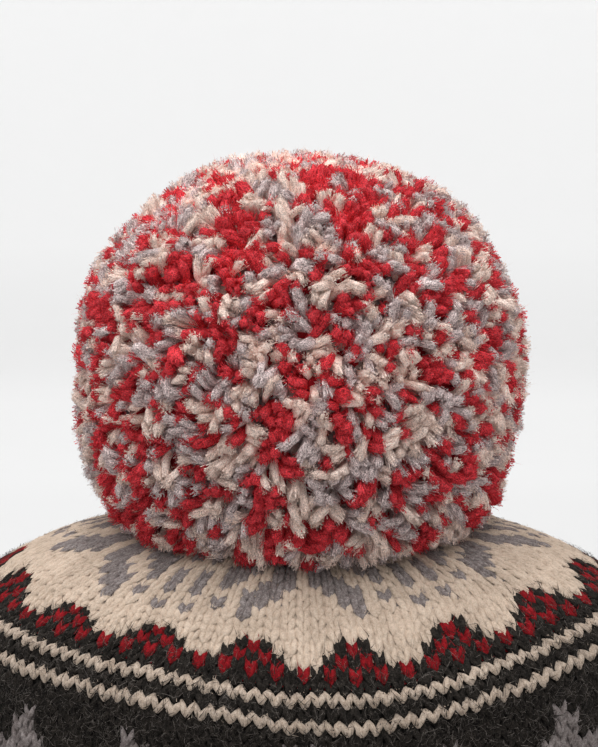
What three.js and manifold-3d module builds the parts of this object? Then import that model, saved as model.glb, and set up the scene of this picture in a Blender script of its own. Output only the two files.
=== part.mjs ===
// Knit toque with a pompom, standing on its rim.
// Millimetres, +Z up. The origin is on the floor, under the middle of the rim.
// X runs along the wide way of the head, and the front is towards -Y.

import * as THREE from 'three';
import { mergeVertices } from 'three/addons/utils/BufferGeometryUtils.js';
import Module from 'manifold-3d';

// Driving sizes of the cap
const HALF_WIDTH = 94; // X half-width of the cap at the upper cream stripe
const HALF_DEPTH = 77.5; // Y half-width of the cap at the upper cream stripe
const STRIPE_HEIGHT = 138; // upper cream stripe above the floor
const DOME_RISE = 27; // top of the crown above that stripe
const DOME_POWER = 3.4; // how flat the top is before it turns down
const SADDLE = 6; // how far the stripe dips at front and back and lifts at the sides
const WALL = 3.2; // thickness of the two-stranded knit
const TOUCH_GAP = 0.3; // clearance between pieces that touch

// Driving sizes of the folded rib band
const BAND_HEIGHT = 58;
const RIB_COUNT = 36;
const RIB_DEPTH = 1.1;
const FOLD_GAP = 0.6; // between the two layers of the fold
const LAYER = 3.4; // thickness of the turned-up layer
const JOIN_HEIGHT = 50; // where the body of the cap starts, behind the fold

// Driving sizes of the pompom and its tie
const POMPOM_HALF = new THREE.Vector3(65.2, 63.7, 60.6);
const POMPOM_CENTRE_HEIGHT = 207.5;
const UPPER_FULLNESS = 2.15; // power of the upper outline: 2 is an ellipse, and more is fuller
const LOWER_FULLNESS = 2.8; // the same below the middle, where it is pressed on the crown
const HEAD_DETAIL = 3; // how often the head's facets are divided
const HEAD_DEPTH = 7; // how far the head lies below the tips of the tufts
const TUFT_COUNT = 60;
const TUFT_SIDES = 6;
const TUFT_UNEVENNESS = 0.9; // how far the tips stand in or out of the outer form
const TUFT_BEAT = 2.4; // how that changes from one tuft to the next
const TIE_RADIUS = 1.6;
const TIE_SIDES = 8;
const TIE_REACH = 24; // length of the tie inside the pompom
const KNOT_RADIUS = 4.6;

// Outline of the knot from its lowest point up, in knot radii: below is measured from its top
const KNOT_SECTION = [
  { below: 1.7, radius: 0 },
  { below: 1.5, radius: 0.6 },
  { below: 0.85, radius: 1 },
  { below: 0.2, radius: 0.8 },
  { below: 0, radius: 0.6 },
];

// Counts of facets
const CROWN_COLUMNS = 46;
const COLUMNS_PER_RIB = 3;

// Rings of the crown from its gathered top down to the upper stripe, as shares of the half-widths
const DOME_SHARES = [0.13, 0.27, 0.41, 0.54, 0.66, 0.76, 0.84, 0.9, 0.95, 1];

// Rings of the body below the upper stripe: spread is a share of the half-widths
const BODY_RINGS = [
  { drop: 4, spread: 1.02, saddle: 1 },
  { drop: 10, spread: 1.037, saddle: 0.95 },
  { drop: 20, spread: 1.05, saddle: 0.8 },
  { drop: 34, spread: 1.055, saddle: 0.5 },
  { drop: 50, spread: 1.042, saddle: 0.2 },
  { drop: 66, spread: 1.01, saddle: 0.05 },
  { drop: 76, spread: 0.989, saddle: 0 },
  { drop: STRIPE_HEIGHT - JOIN_HEIGHT, spread: 0.985, saddle: 0 },
];
const RIM_SPREAD = BODY_RINGS[BODY_RINGS.length - 1].spread;

// Broad soft dents of the relaxed knit: turn is the place round the cap in degrees from the front,
// share is the place on the dome, wide is its spread in mm, and deep is its depth in mm
const DENTS = [
  { turn: 18, share: 0.86, wide: 26, deep: 1.6 },
  { turn: -52, share: 0.8, wide: 24, deep: 1.3 },
  { turn: 104, share: 0.84, wide: 30, deep: 1.5 },
  { turn: 196, share: 0.8, wide: 32, deep: 1.8 },
  { turn: 268, share: 0.86, wide: 26, deep: 1.2 },
];

// Section of the rib band: out is measured from the outer face of the body,
// and ribbed says how much of the rib's depth the point follows
const FOLD_OUTER = FOLD_GAP + LAYER;
const BAND_SECTION = [
  { out: 0, up: JOIN_HEIGHT - TOUCH_GAP, ribbed: 0 },
  { out: -WALL, up: JOIN_HEIGHT - TOUCH_GAP, ribbed: 0 },
  { out: -WALL, up: 4, ribbed: 0 },
  { out: -WALL + 0.9, up: 1, ribbed: 0 },
  { out: -WALL + 2, up: 0, ribbed: 0 },
  { out: FOLD_OUTER - 2.6, up: 0, ribbed: 0 },
  { out: FOLD_OUTER - 0.6, up: 1.4, ribbed: 0.6 },
  { out: FOLD_OUTER, up: 5, ribbed: 1 },
  { out: FOLD_OUTER + 0.5, up: 30, ribbed: 1 },
  { out: FOLD_OUTER, up: BAND_HEIGHT - 4, ribbed: 1 },
  { out: FOLD_OUTER - 1, up: BAND_HEIGHT, ribbed: 0.8 },
  { out: FOLD_GAP + 0.7, up: BAND_HEIGHT, ribbed: 0 },
  { out: FOLD_GAP, up: BAND_HEIGHT - 3, ribbed: 0 },
  { out: FOLD_GAP, up: 5, ribbed: 0 },
  { out: FOLD_GAP / 2, up: 4.2, ribbed: 0 },
  { out: 0, up: 5, ribbed: 0 },
];

// Outline of a tuft from its tip to its root: below is measured from the tip
const TUFT_SECTION = [
  { below: 0, radius: 0 },
  { below: 0.8, radius: 6 },
  { below: 3.6, radius: 10.4 },
  { below: 16, radius: 13.5 },
  { below: 16, radius: 0 },
];

const wasm = await Module();
wasm.setup();

// Turns, in radians from the front, that part an ellipse's rim into equal lengths
function evenTurns(count) {
  const fineSteps = 3600;
  const lengths = [0];
  let last = new THREE.Vector2(0, -HALF_DEPTH);
  for (let step = 1; step <= fineSteps; step += 1) {
    const turn = (step / fineSteps) * 2 * Math.PI;
    const next = new THREE.Vector2(HALF_WIDTH * Math.sin(turn), -HALF_DEPTH * Math.cos(turn));
    lengths.push(lengths[step - 1] + next.distanceTo(last));
    last = next;
  }
  const turns = [];
  let step = 0;
  for (let index = 0; index < count; index += 1) {
    const wanted = (index / count) * lengths[fineSteps];
    while (lengths[step + 1] <= wanted) {
      step += 1;
    }
    const part = (wanted - lengths[step]) / (lengths[step + 1] - lengths[step]);
    turns.push(((step + part) / fineSteps) * 2 * Math.PI);
  }
  return turns;
}

// Depth of the soft dents at a place on the cap
function dentDepth(turn, share) {
  let depth = 0;
  for (const dent of DENTS) {
    const there = THREE.MathUtils.degToRad(dent.turn);
    const across = Math.hypot(
      HALF_WIDTH * (share * Math.sin(turn) - dent.share * Math.sin(there)),
      HALF_DEPTH * (share * Math.cos(turn) - dent.share * Math.cos(there)),
    );
    depth += dent.deep * Math.exp(-((across / dent.wide) ** 2));
  }
  return depth;
}

// Outer face of the dome, from the top, where share is 0, to the upper stripe, where it is 1
function domePoint(turn, share) {
  const rise = DOME_RISE * (1 - share ** DOME_POWER);
  const dip = SADDLE * Math.cos(2 * turn) * share ** 2;
  const midway = 4 * share * (1 - share); // 0 at the top and at the stripe, 1 halfway between
  return new THREE.Vector3(
    HALF_WIDTH * share * Math.sin(turn),
    -HALF_DEPTH * share * Math.cos(turn),
    STRIPE_HEIGHT + rise - dip - dentDepth(turn, share) * midway,
  );
}

// Outer face of the body below the upper stripe
function bodyPoint(turn, ring) {
  return new THREE.Vector3(
    HALF_WIDTH * ring.spread * Math.sin(turn),
    -HALF_DEPTH * ring.spread * Math.cos(turn),
    STRIPE_HEIGHT - ring.drop - SADDLE * Math.cos(2 * turn) * ring.saddle,
  );
}

// Rows of points on the outer face, each row a closed loop round the cap
function outerRows(turns) {
  const rows = DOME_SHARES.map((share) => turns.map((turn) => domePoint(turn, share)));
  for (const ring of BODY_RINGS) {
    rows.push(turns.map((turn) => bodyPoint(turn, ring)));
  }
  return rows;
}

// Rows moved out along the surface's own normals, or in where the distance is negative
function offsetRows(rows, distance) {
  return rows.map((row, level) => row.map((point, column) => {
    const above = rows[Math.max(level - 1, 0)][column];
    const below = rows[Math.min(level + 1, rows.length - 1)][column];
    const ahead = row[(column + 1) % row.length];
    const behind = row[(column + row.length - 1) % row.length];
    const down = new THREE.Vector3().subVectors(below, above);
    const along = new THREE.Vector3().subVectors(ahead, behind);
    return down.cross(along).normalize().multiplyScalar(distance).add(point);
  }));
}

// Closed mesh through loops of points that follow each other round a section
function ringGeometry(rows) {
  const columns = rows[0].length;
  const positions = rows.flat().flatMap((point) => point.toArray());
  const indices = [];
  for (let level = 0; level < rows.length; level += 1) {
    const next = (level + 1) % rows.length;
    for (let column = 0; column < columns; column += 1) {
      const ahead = (column + 1) % columns;
      const a = level * columns + column;
      const b = level * columns + ahead;
      const c = next * columns + ahead;
      const d = next * columns + column;
      indices.push(a, d, b, b, d, c);
    }
  }
  const geometry = new THREE.BufferGeometry();
  geometry.setAttribute('position', new THREE.Float32BufferAttribute(positions, 3));
  geometry.setIndex(indices);
  return geometry;
}

// Conversion between three.js geometry and solids that can be joined and cut
function toSolid(geometry) {
  const bare = geometry.clone();
  bare.deleteAttribute('normal');
  bare.deleteAttribute('uv');
  const merged = mergeVertices(bare);
  const vertProperties = new Float32Array(merged.attributes.position.array);
  const triVerts = new Uint32Array(merged.index.array);
  return new wasm.Manifold(new wasm.Mesh({ numProp: 3, vertProperties, triVerts }));
}

function toGeometry(solid) {
  const mesh = solid.getMesh();
  const geometry = new THREE.BufferGeometry();
  geometry.setAttribute('position', new THREE.BufferAttribute(mesh.vertProperties, 3));
  geometry.setIndex(new THREE.BufferAttribute(mesh.triVerts, 1));
  return geometry;
}

// The cap: outer face down, inner face back up, joined at the rim and round the tie's hole
function crownGeometry() {
  const outer = outerRows(evenTurns(CROWN_COLUMNS));
  const holeRadius = TIE_RADIUS + TOUCH_GAP;
  const top = STRIPE_HEIGHT + DOME_RISE;
  const hole = evenTurns(CROWN_COLUMNS).map((turn) => new THREE.Vector3(
    holeRadius * Math.sin(turn),
    -holeRadius * Math.cos(turn),
    top,
  ));
  outer.unshift(hole);
  const inner = offsetRows(outer, -WALL);
  inner[0] = hole.map((point) => point.clone().setZ(top - WALL));
  inner[inner.length - 1].forEach((point) => point.setZ(JOIN_HEIGHT));
  return ringGeometry([...outer, ...inner.reverse()]);
}

// The folded band: its section swept round the rim, with ribs on the layer that shows
function bandGeometry() {
  const turns = evenTurns(RIB_COUNT * COLUMNS_PER_RIB);
  const rows = BAND_SECTION.map((corner) => turns.map((turn, column) => {
    const inGroove = column % COLUMNS_PER_RIB === 0;
    const out = corner.out - (inGroove ? RIB_DEPTH * corner.ribbed : 0);
    const point = bodyPoint(turn, { drop: 0, spread: RIM_SPREAD, saddle: 0 });
    const normal = new THREE.Vector3(
      HALF_DEPTH * Math.sin(turn),
      -HALF_WIDTH * Math.cos(turn),
      0,
    ).normalize();
    return normal.multiplyScalar(out).add(point).setZ(corner.up);
  }));
  return ringGeometry(rows.reverse());
}

// Solid that fills the cap up to just above its outer face, to seat the pompom on it
function seatSolid() {
  const floorHeight = STRIPE_HEIGHT;
  const turns = evenTurns(CROWN_COLUMNS);
  const shares = DOME_SHARES.filter((share) => share < 1);
  const rows = shares.map((share) => turns.map((turn) => domePoint(turn, share)));
  const raised = offsetRows(rows, TOUCH_GAP);
  raised.push(raised[raised.length - 1].map((point) => point.clone().setZ(floorHeight)));
  const positions = raised.flat().flatMap((point) => point.toArray());
  const topIndex = positions.length / 3;
  positions.push(0, 0, STRIPE_HEIGHT + DOME_RISE + TOUCH_GAP, 0, 0, floorHeight);
  const columns = turns.length;
  const lastRow = (raised.length - 1) * columns;
  const indices = [];
  for (let column = 0; column < columns; column += 1) {
    const ahead = (column + 1) % columns;
    indices.push(topIndex, column, ahead);
    indices.push(topIndex + 1, lastRow + ahead, lastRow + column);
    for (let level = 0; level < raised.length - 1; level += 1) {
      const a = level * columns + column;
      const b = level * columns + ahead;
      indices.push(a, a + columns, b, b, a + columns, b + columns);
    }
  }
  const geometry = new THREE.BufferGeometry();
  geometry.setAttribute('position', new THREE.Float32BufferAttribute(positions, 3));
  geometry.setIndex(indices);
  return toSolid(geometry);
}

// Distance from the pompom's middle to its outer form in a direction
function pompomReach(direction) {
  const across = Math.hypot(direction.x / POMPOM_HALF.x, direction.y / POMPOM_HALF.y);
  const up = Math.abs(direction.z) / POMPOM_HALF.z;
  const fullness = direction.z < 0 ? LOWER_FULLNESS : UPPER_FULLNESS;
  return (across ** fullness + up ** fullness) ** (-1 / fullness);
}

// Directions spread evenly over a ball, from its top down
function tuftDirection(index) {
  const goldenTurn = Math.PI * (3 - Math.sqrt(5));
  const height = 1 - (2 * (index + 0.5)) / TUFT_COUNT;
  const reach = Math.sqrt(1 - height * height);
  const turn = index * goldenTurn;
  return new THREE.Vector3(reach * Math.cos(turn), reach * Math.sin(turn), height);
}

// One blunt tuft with its tip at the pompom's outer form
function tuftSolid(index) {
  const direction = tuftDirection(index);
  const tip = pompomReach(direction) + TUFT_UNEVENNESS * Math.sin(index * TUFT_BEAT);
  const section = TUFT_SECTION.map(({ below, radius }) => new THREE.Vector2(radius, -below));
  const tuft = new THREE.LatheGeometry(section.reverse(), TUFT_SIDES);
  tuft.rotateY(index);
  tuft.applyQuaternion(new THREE.Quaternion().setFromUnitVectors(
    new THREE.Vector3(0, 1, 0),
    direction,
  ));
  const place = direction.multiplyScalar(tip);
  tuft.translate(place.x, place.y, place.z + POMPOM_CENTRE_HEIGHT);
  return toSolid(tuft);
}

// The ball under the tufts
function headGeometry() {
  const head = new THREE.IcosahedronGeometry(1, HEAD_DETAIL);
  const position = head.attributes.position;
  for (let index = 0; index < position.count; index += 1) {
    const direction = new THREE.Vector3().fromBufferAttribute(position, index).normalize();
    const place = direction.multiplyScalar(pompomReach(direction) - HEAD_DEPTH);
    position.setXYZ(index, place.x, place.y, place.z);
  }
  head.translate(0, 0, POMPOM_CENTRE_HEIGHT);
  return head;
}

// The pompom: a ball with blunt tufts fused all over it, seated on the cap and bored for the tie
function pompomGeometry() {
  let solid = toSolid(headGeometry());
  for (let index = 0; index < TUFT_COUNT; index += 1) {
    solid = solid.add(tuftSolid(index));
  }
  const boreBottom = STRIPE_HEIGHT;
  const boreTop = STRIPE_HEIGHT + DOME_RISE + TIE_REACH + TOUCH_GAP;
  const bore = new THREE.CylinderGeometry(
    TIE_RADIUS + TOUCH_GAP,
    TIE_RADIUS + TOUCH_GAP,
    boreTop - boreBottom,
    TIE_SIDES,
  );
  bore.rotateX(Math.PI / 2);
  bore.translate(0, 0, (boreTop + boreBottom) / 2);
  return toGeometry(solid.subtract(seatSolid()).subtract(toSolid(bore)));
}

// The tie: a cord from inside the pompom through the crown, and a round knot below it
function tieGeometry() {
  const knotTop = STRIPE_HEIGHT + DOME_RISE - WALL - TOUCH_GAP;
  const cordTop = STRIPE_HEIGHT + DOME_RISE + TIE_REACH;
  const knot = KNOT_SECTION.map(({ below, radius }) => new THREE.Vector2(
    radius * KNOT_RADIUS,
    knotTop - below * KNOT_RADIUS,
  ));
  const section = [
    ...knot,
    new THREE.Vector2(TIE_RADIUS, knotTop),
    new THREE.Vector2(TIE_RADIUS, cordTop),
    new THREE.Vector2(0, cordTop),
  ];
  const tie = new THREE.LatheGeometry(section, TIE_SIDES);
  tie.rotateX(Math.PI / 2);
  return tie;
}

// Finishes
const charcoalWool = new THREE.MeshStandardMaterial({ color: 0x2b2a2c, roughness: 0.95 });
const creamWool = new THREE.MeshStandardMaterial({ color: 0xd3c5b2, roughness: 0.95 });
const redWool = new THREE.MeshStandardMaterial({ color: 0xa5182a, roughness: 0.95 });

function namedMesh(name, geometry, material) {
  const mesh = new THREE.Mesh(geometry, material);
  mesh.name = name;
  return mesh;
}

const toque = new THREE.Group();
toque.add(namedMesh('crown', crownGeometry(), creamWool));
toque.add(namedMesh('ribbed_band', bandGeometry(), charcoalWool));
toque.add(namedMesh('pompom', pompomGeometry(), redWool));
toque.add(namedMesh('pompom_tie', tieGeometry(), charcoalWool.clone()));

export default toque;
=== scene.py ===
"""Knit toque with a three-coloured pompom, dressed over its solid model.

The cap is knitted stitch by stitch from a chart, the pompom is made of cut strands of yarn, and
every finish is wool. Lengths are millimetres where nothing else is said, and meshes are in metres.
"""

import bpy
import numpy as np
from bpy.props import FloatProperty, FloatVectorProperty, IntProperty, PointerProperty
from mathutils import Matrix, Vector


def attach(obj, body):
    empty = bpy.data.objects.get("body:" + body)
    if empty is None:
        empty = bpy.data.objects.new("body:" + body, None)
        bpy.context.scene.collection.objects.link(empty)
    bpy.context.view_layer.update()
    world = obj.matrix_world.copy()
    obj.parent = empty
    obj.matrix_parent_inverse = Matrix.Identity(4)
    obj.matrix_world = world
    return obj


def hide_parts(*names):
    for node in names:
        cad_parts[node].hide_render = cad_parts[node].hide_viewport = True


bl_info = {
    "name": "Knit Toque",
    "version": (1, 0, 0),
    "blender": (4, 5, 0),
    "location": "View3D > Sidebar > Toque",
    "description": "Knits a colourwork toque with a pompom round its solid model",
    "category": "Object",
}

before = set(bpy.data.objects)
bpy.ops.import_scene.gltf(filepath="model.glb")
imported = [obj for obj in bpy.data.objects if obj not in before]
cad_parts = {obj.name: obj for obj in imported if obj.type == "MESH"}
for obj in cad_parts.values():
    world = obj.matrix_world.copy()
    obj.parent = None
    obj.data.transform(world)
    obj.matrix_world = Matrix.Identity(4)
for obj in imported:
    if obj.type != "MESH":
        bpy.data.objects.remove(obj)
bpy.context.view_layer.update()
MM = 0.001
BODY = "root"
YARN_UV = "yarn"

# The cap's form. Each ring of the body is (drop below the upper stripe, spread, share of the saddle)
DOME_POWER = 3.4
BODY_RINGS = (
    (4.0, 1.02, 1.0),
    (10.0, 1.037, 0.95),
    (20.0, 1.05, 0.8),
    (34.0, 1.055, 0.5),
    (50.0, 1.042, 0.2),
    (66.0, 1.01, 0.05),
    (76.0, 0.989, 0.0),
    (88.0, 0.985, 0.0),
)
# Each soft dent is (degrees round from the front, share of the dome, width, depth)
DENTS = (
    (18.0, 0.86, 26.0, 1.6),
    (-52.0, 0.8, 24.0, 1.3),
    (104.0, 0.84, 30.0, 1.5),
    (196.0, 0.8, 32.0, 1.8),
    (268.0, 0.86, 26.0, 1.2),
)
WALL = 3.2
RIM_SPREAD = 0.985
JOIN_HEIGHT = 50.0
# How finely the form is tabled: samples of the dome and of the rim, and steps up the outer face,
# which goes on below the body's lowest ring
DOME_SAMPLES = 400
RIM_SAMPLES = 3601
CLIMB_STEP = 0.25
BELOW_BODY = 8.0
# Steps to each side over which its slope is taken: radians round it and millimetres up it
SLOPE_STEPS = (0.01, 0.8)
# Bells that round off the corners between its rings, and between places round it: (reach, spread)
RING_BELL = (16, 7.0)
ROUND_BELL = (12, 4.5)
# Distance between the columns of a wall of cloth in yarn coordinates
WALL_COLUMN_GAP = 0.35
# The climb about which rows and columns wander, how far from it that ends, and over how much it fades
WANDER_MIDDLE = 5.0
WANDER_REACH = 45.0
WANDER_FADE = 25.0
# Where the leaves' own wander starts, over how much it rises, where it ends, and over how much it fades
LEAVES_START = 8.0
LEAVES_RISE = 19.0
LEAVES_END = 60.0
LEAVES_FADE = 20.0
# How the rows wander from level: (degrees from the front, climb at the petals, more at the leaves)
ROW_WANDER = (
    (-140.0, 0.3, 0.0),
    (-110.0, 0.0, 1.0),
    (-90.0, -0.4, 4.6),
    (-76.0, -0.6, 3.8),
    (-58.0, -0.9, -1.0),
    (-44.0, 0.6, -2.6),
    (-30.0, 1.7, -3.4),
    (-16.0, 1.1, -2.6),
    (-3.0, -0.9, 0.2),
    (8.0, -2.1, 3.0),
    (17.0, -2.1, 3.0),
    (28.0, -0.3, 2.4),
    (42.0, 1.1, 2.8),
    (58.0, 1.0, 1.6),
    (90.0, 0.0, 0.5),
    (150.0, -0.5, 0.0),
    (180.0, 0.2, 0.0),
)
# How the columns drift round it: (degrees, degrees of drift at the petals, more at the leaves)
COLUMN_DRIFT = (
    (-160.0, 0.0, 0.0),
    (-100.0, 0.3, -5.0),
    (-78.0, 0.5, -7.0),
    (-54.0, 0.6, -1.5),
    (-40.0, 0.6, -0.8),
    (-18.0, 0.3, -0.4),
    (0.0, 0.0, 0.0),
    (18.0, -1.3, 1.0),
    (28.0, -0.8, 2.8),
    (42.0, 0.3, 2.8),
    (50.0, 2.2, 0.9),
    (60.0, 5.5, 0.5),
    (68.0, 7.5, 0.2),
    (95.0, 8.0, 0.0),
    (140.0, 3.0, 0.0),
)

# The chart. Rows are counted up from the upper cream stripe, which is row 0
LOWEST_ROW = -25
HIGHEST_ROW = 18
BODY_TOP_ROW = -4
STRIPE_ROWS = (-2, 0)
FIRST_TALL_ROW = 2
COLOURS = ("cream", "charcoal", "red", "grey")
CREAM = COLOURS.index("cream")
CHARCOAL = COLOURS.index("charcoal")
GREY = COLOURS.index("grey")
# A letter in the charts for each colour, in the same order
CHART_LETTERS = "CKRG"
# Each row from the middle of its pattern to halfway to the next: stripes, checks, petals and leaves
CHART_ROWS = {
    -3: "KKKKK",
    -2: "CCCCC",
    -1: "KKKKK",
    0: "CCCCC",
    1: "KKKKK",
    2: "RKRKR",
    3: "CCKRK",
    4: "CCCKR",
    5: "CCCCC",
    6: "CCCCC",
    7: "CCCCGCCCGC",
    8: "CCCGGCGCCC",
    9: "CCGGGCCCGC",
    10: "CGGGCCGCGC",
    11: "CGGCCGGCGC",
    12: "CGGCGGGCCC",
    13: "CGCGGGCCGC",
}
TOP_CHART_ROW = "CGGCCGC"
# Rows from which a round has three quarters, and then half, of the body's stitches
FIRST_DECREASE_ROW = 5
SECOND_DECREASE_ROW = 14


class ToqueCapSettings(bpy.types.PropertyGroup):
    """Sizes and colours of the knitted cap."""

    half_width: FloatProperty(
        name="Half width",
        description="Half the cap's width at the upper cream stripe",
        default=0.094,
        unit="LENGTH",
    )
    half_depth: FloatProperty(
        name="Half depth",
        description="Half the cap's depth, front to back, at the upper cream stripe",
        default=0.0775,
        unit="LENGTH",
    )
    stripe_height: FloatProperty(
        name="Stripe height",
        description="Height of the upper cream stripe above the rim",
        default=0.138,
        unit="LENGTH",
    )
    dome_rise: FloatProperty(
        name="Dome rise",
        description="How far the top of the crown stands above the upper stripe",
        default=0.027,
        unit="LENGTH",
    )
    saddle: FloatProperty(
        name="Saddle",
        description="How far the stripe dips at the front and back and lifts at the sides",
        default=0.006,
        unit="LENGTH",
    )
    row_height: FloatProperty(
        name="Row height",
        description="Height of one row of knitting",
        default=0.00345,
        unit="LENGTH",
    )
    stitches: IntProperty(
        name="Stitches",
        description="Stitches in a round of the body",
        default=144,
    )
    seed: IntProperty(
        name="Seed",
        description="Seed of the small differences between stitches",
        default=7,
    )
    cream: FloatVectorProperty(
        name="Cream",
        description="Colour of the cream wool",
        subtype="COLOR",
        default=(0.54, 0.42, 0.325),
    )
    charcoal: FloatVectorProperty(
        name="Charcoal",
        description="Colour of the charcoal wool",
        subtype="COLOR",
        default=(0.0048, 0.0042, 0.0036),
    )
    red: FloatVectorProperty(
        name="Red",
        description="Colour of the red wool",
        subtype="COLOR",
        default=(0.16, 0.0042, 0.0075),
    )
    grey: FloatVectorProperty(
        name="Grey",
        description="Colour of the grey wool",
        subtype="COLOR",
        default=(0.155, 0.126, 0.119),
    )


class ToqueBandSettings(bpy.types.PropertyGroup):
    """Sizes of the folded rib band."""

    height: FloatProperty(
        name="Height",
        description="Height of the folded band",
        default=0.058,
        unit="LENGTH",
    )
    ribs: IntProperty(
        name="Ribs",
        description="Ribs round the band",
        default=36,
    )
    rib_depth: FloatProperty(
        name="Rib depth",
        description="How far the grooves between the ribs go in",
        default=0.0016,
        unit="LENGTH",
    )


class ToquePompomSettings(bpy.types.PropertyGroup):
    """Sizes and make-up of the pompom."""

    half_size: FloatVectorProperty(
        name="Half size",
        description="Half the pompom's width, depth and height",
        default=(0.0637, 0.0623, 0.0604),
        unit="LENGTH",
    )
    centre_height: FloatProperty(
        name="Centre height",
        description="Height of the pompom's middle above the rim",
        default=0.2075,
        unit="LENGTH",
    )
    clumps: IntProperty(
        name="Clumps",
        description="Groups of neighbouring strands of one colour",
        default=2700,
    )
    strands: IntProperty(
        name="Strands",
        description="Strands of yarn on the whole ball",
        default=5100,
    )
    strand_radius: FloatProperty(
        name="Strand radius",
        description="Half the thickness of a strand of yarn",
        default=0.0019,
        unit="LENGTH",
    )
    seed: IntProperty(
        name="Seed",
        description="Seed of the way the strands lie",
        default=24,
    )
    red: FloatVectorProperty(
        name="Red",
        description="Colour of the pompom's red strands",
        subtype="COLOR",
        default=(0.68, 0.028, 0.040),
    )
    cream: FloatVectorProperty(
        name="Cream",
        description="Colour of the pompom's cream strands",
        subtype="COLOR",
        default=(0.95, 0.72, 0.62),
    )
    grey: FloatVectorProperty(
        name="Grey",
        description="Colour of the pompom's grey strands",
        subtype="COLOR",
        default=(0.59, 0.46, 0.45),
    )


class ToqueStageSettings(bpy.types.PropertyGroup):
    """The floor, the light and the camera."""

    floor_colour: FloatVectorProperty(
        name="Floor colour",
        description="Colour of the floor",
        subtype="COLOR",
        default=(0.505, 0.505, 0.505),
    )
    wall_colour: FloatVectorProperty(
        name="Wall colour",
        description="Colour of the wall round the floor, at its top",
        subtype="COLOR",
        default=(0.77, 0.77, 0.77),
    )
    backlight: FloatProperty(
        name="Backlight",
        description="Strength of the light from the floor and the wall behind the cap",
        default=0.247,
    )
    sky_strength: FloatProperty(
        name="Sky strength",
        description="Strength of the even light from all round",
        default=0.955,
    )
    lamp_power: FloatProperty(
        name="Lamp power",
        description="Power of the wide lamp overhead",
        default=14.5,
        unit="POWER",
    )
    camera_distance: FloatProperty(
        name="Camera distance",
        description="Distance from the camera to the middle of the upper stripe",
        default=0.601,
        unit="LENGTH",
    )


def unit(vectors):
    """The same directions at length one."""
    return vectors / np.linalg.norm(vectors, axis=-1, keepdims=True)


def random_units(rng, count):
    """Unit vectors in all directions."""
    return unit(rng.normal(size=(count, 3)))


def part_way(value, start, length):
    """How far a value has come from a start over a length, from 0 to 1."""
    return np.clip((value - start) / length, 0.0, 1.0)


def rounded_off(line, bell, ends):
    """A line of values with its corners rounded off by a bell of some reach and spread."""
    reach, spread = bell
    weights = np.exp(-0.5 * (np.arange(-reach, reach + 1) / spread) ** 2)
    return np.convolve(np.pad(line, reach, mode=ends), weights / weights.sum(), mode="valid")


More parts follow.
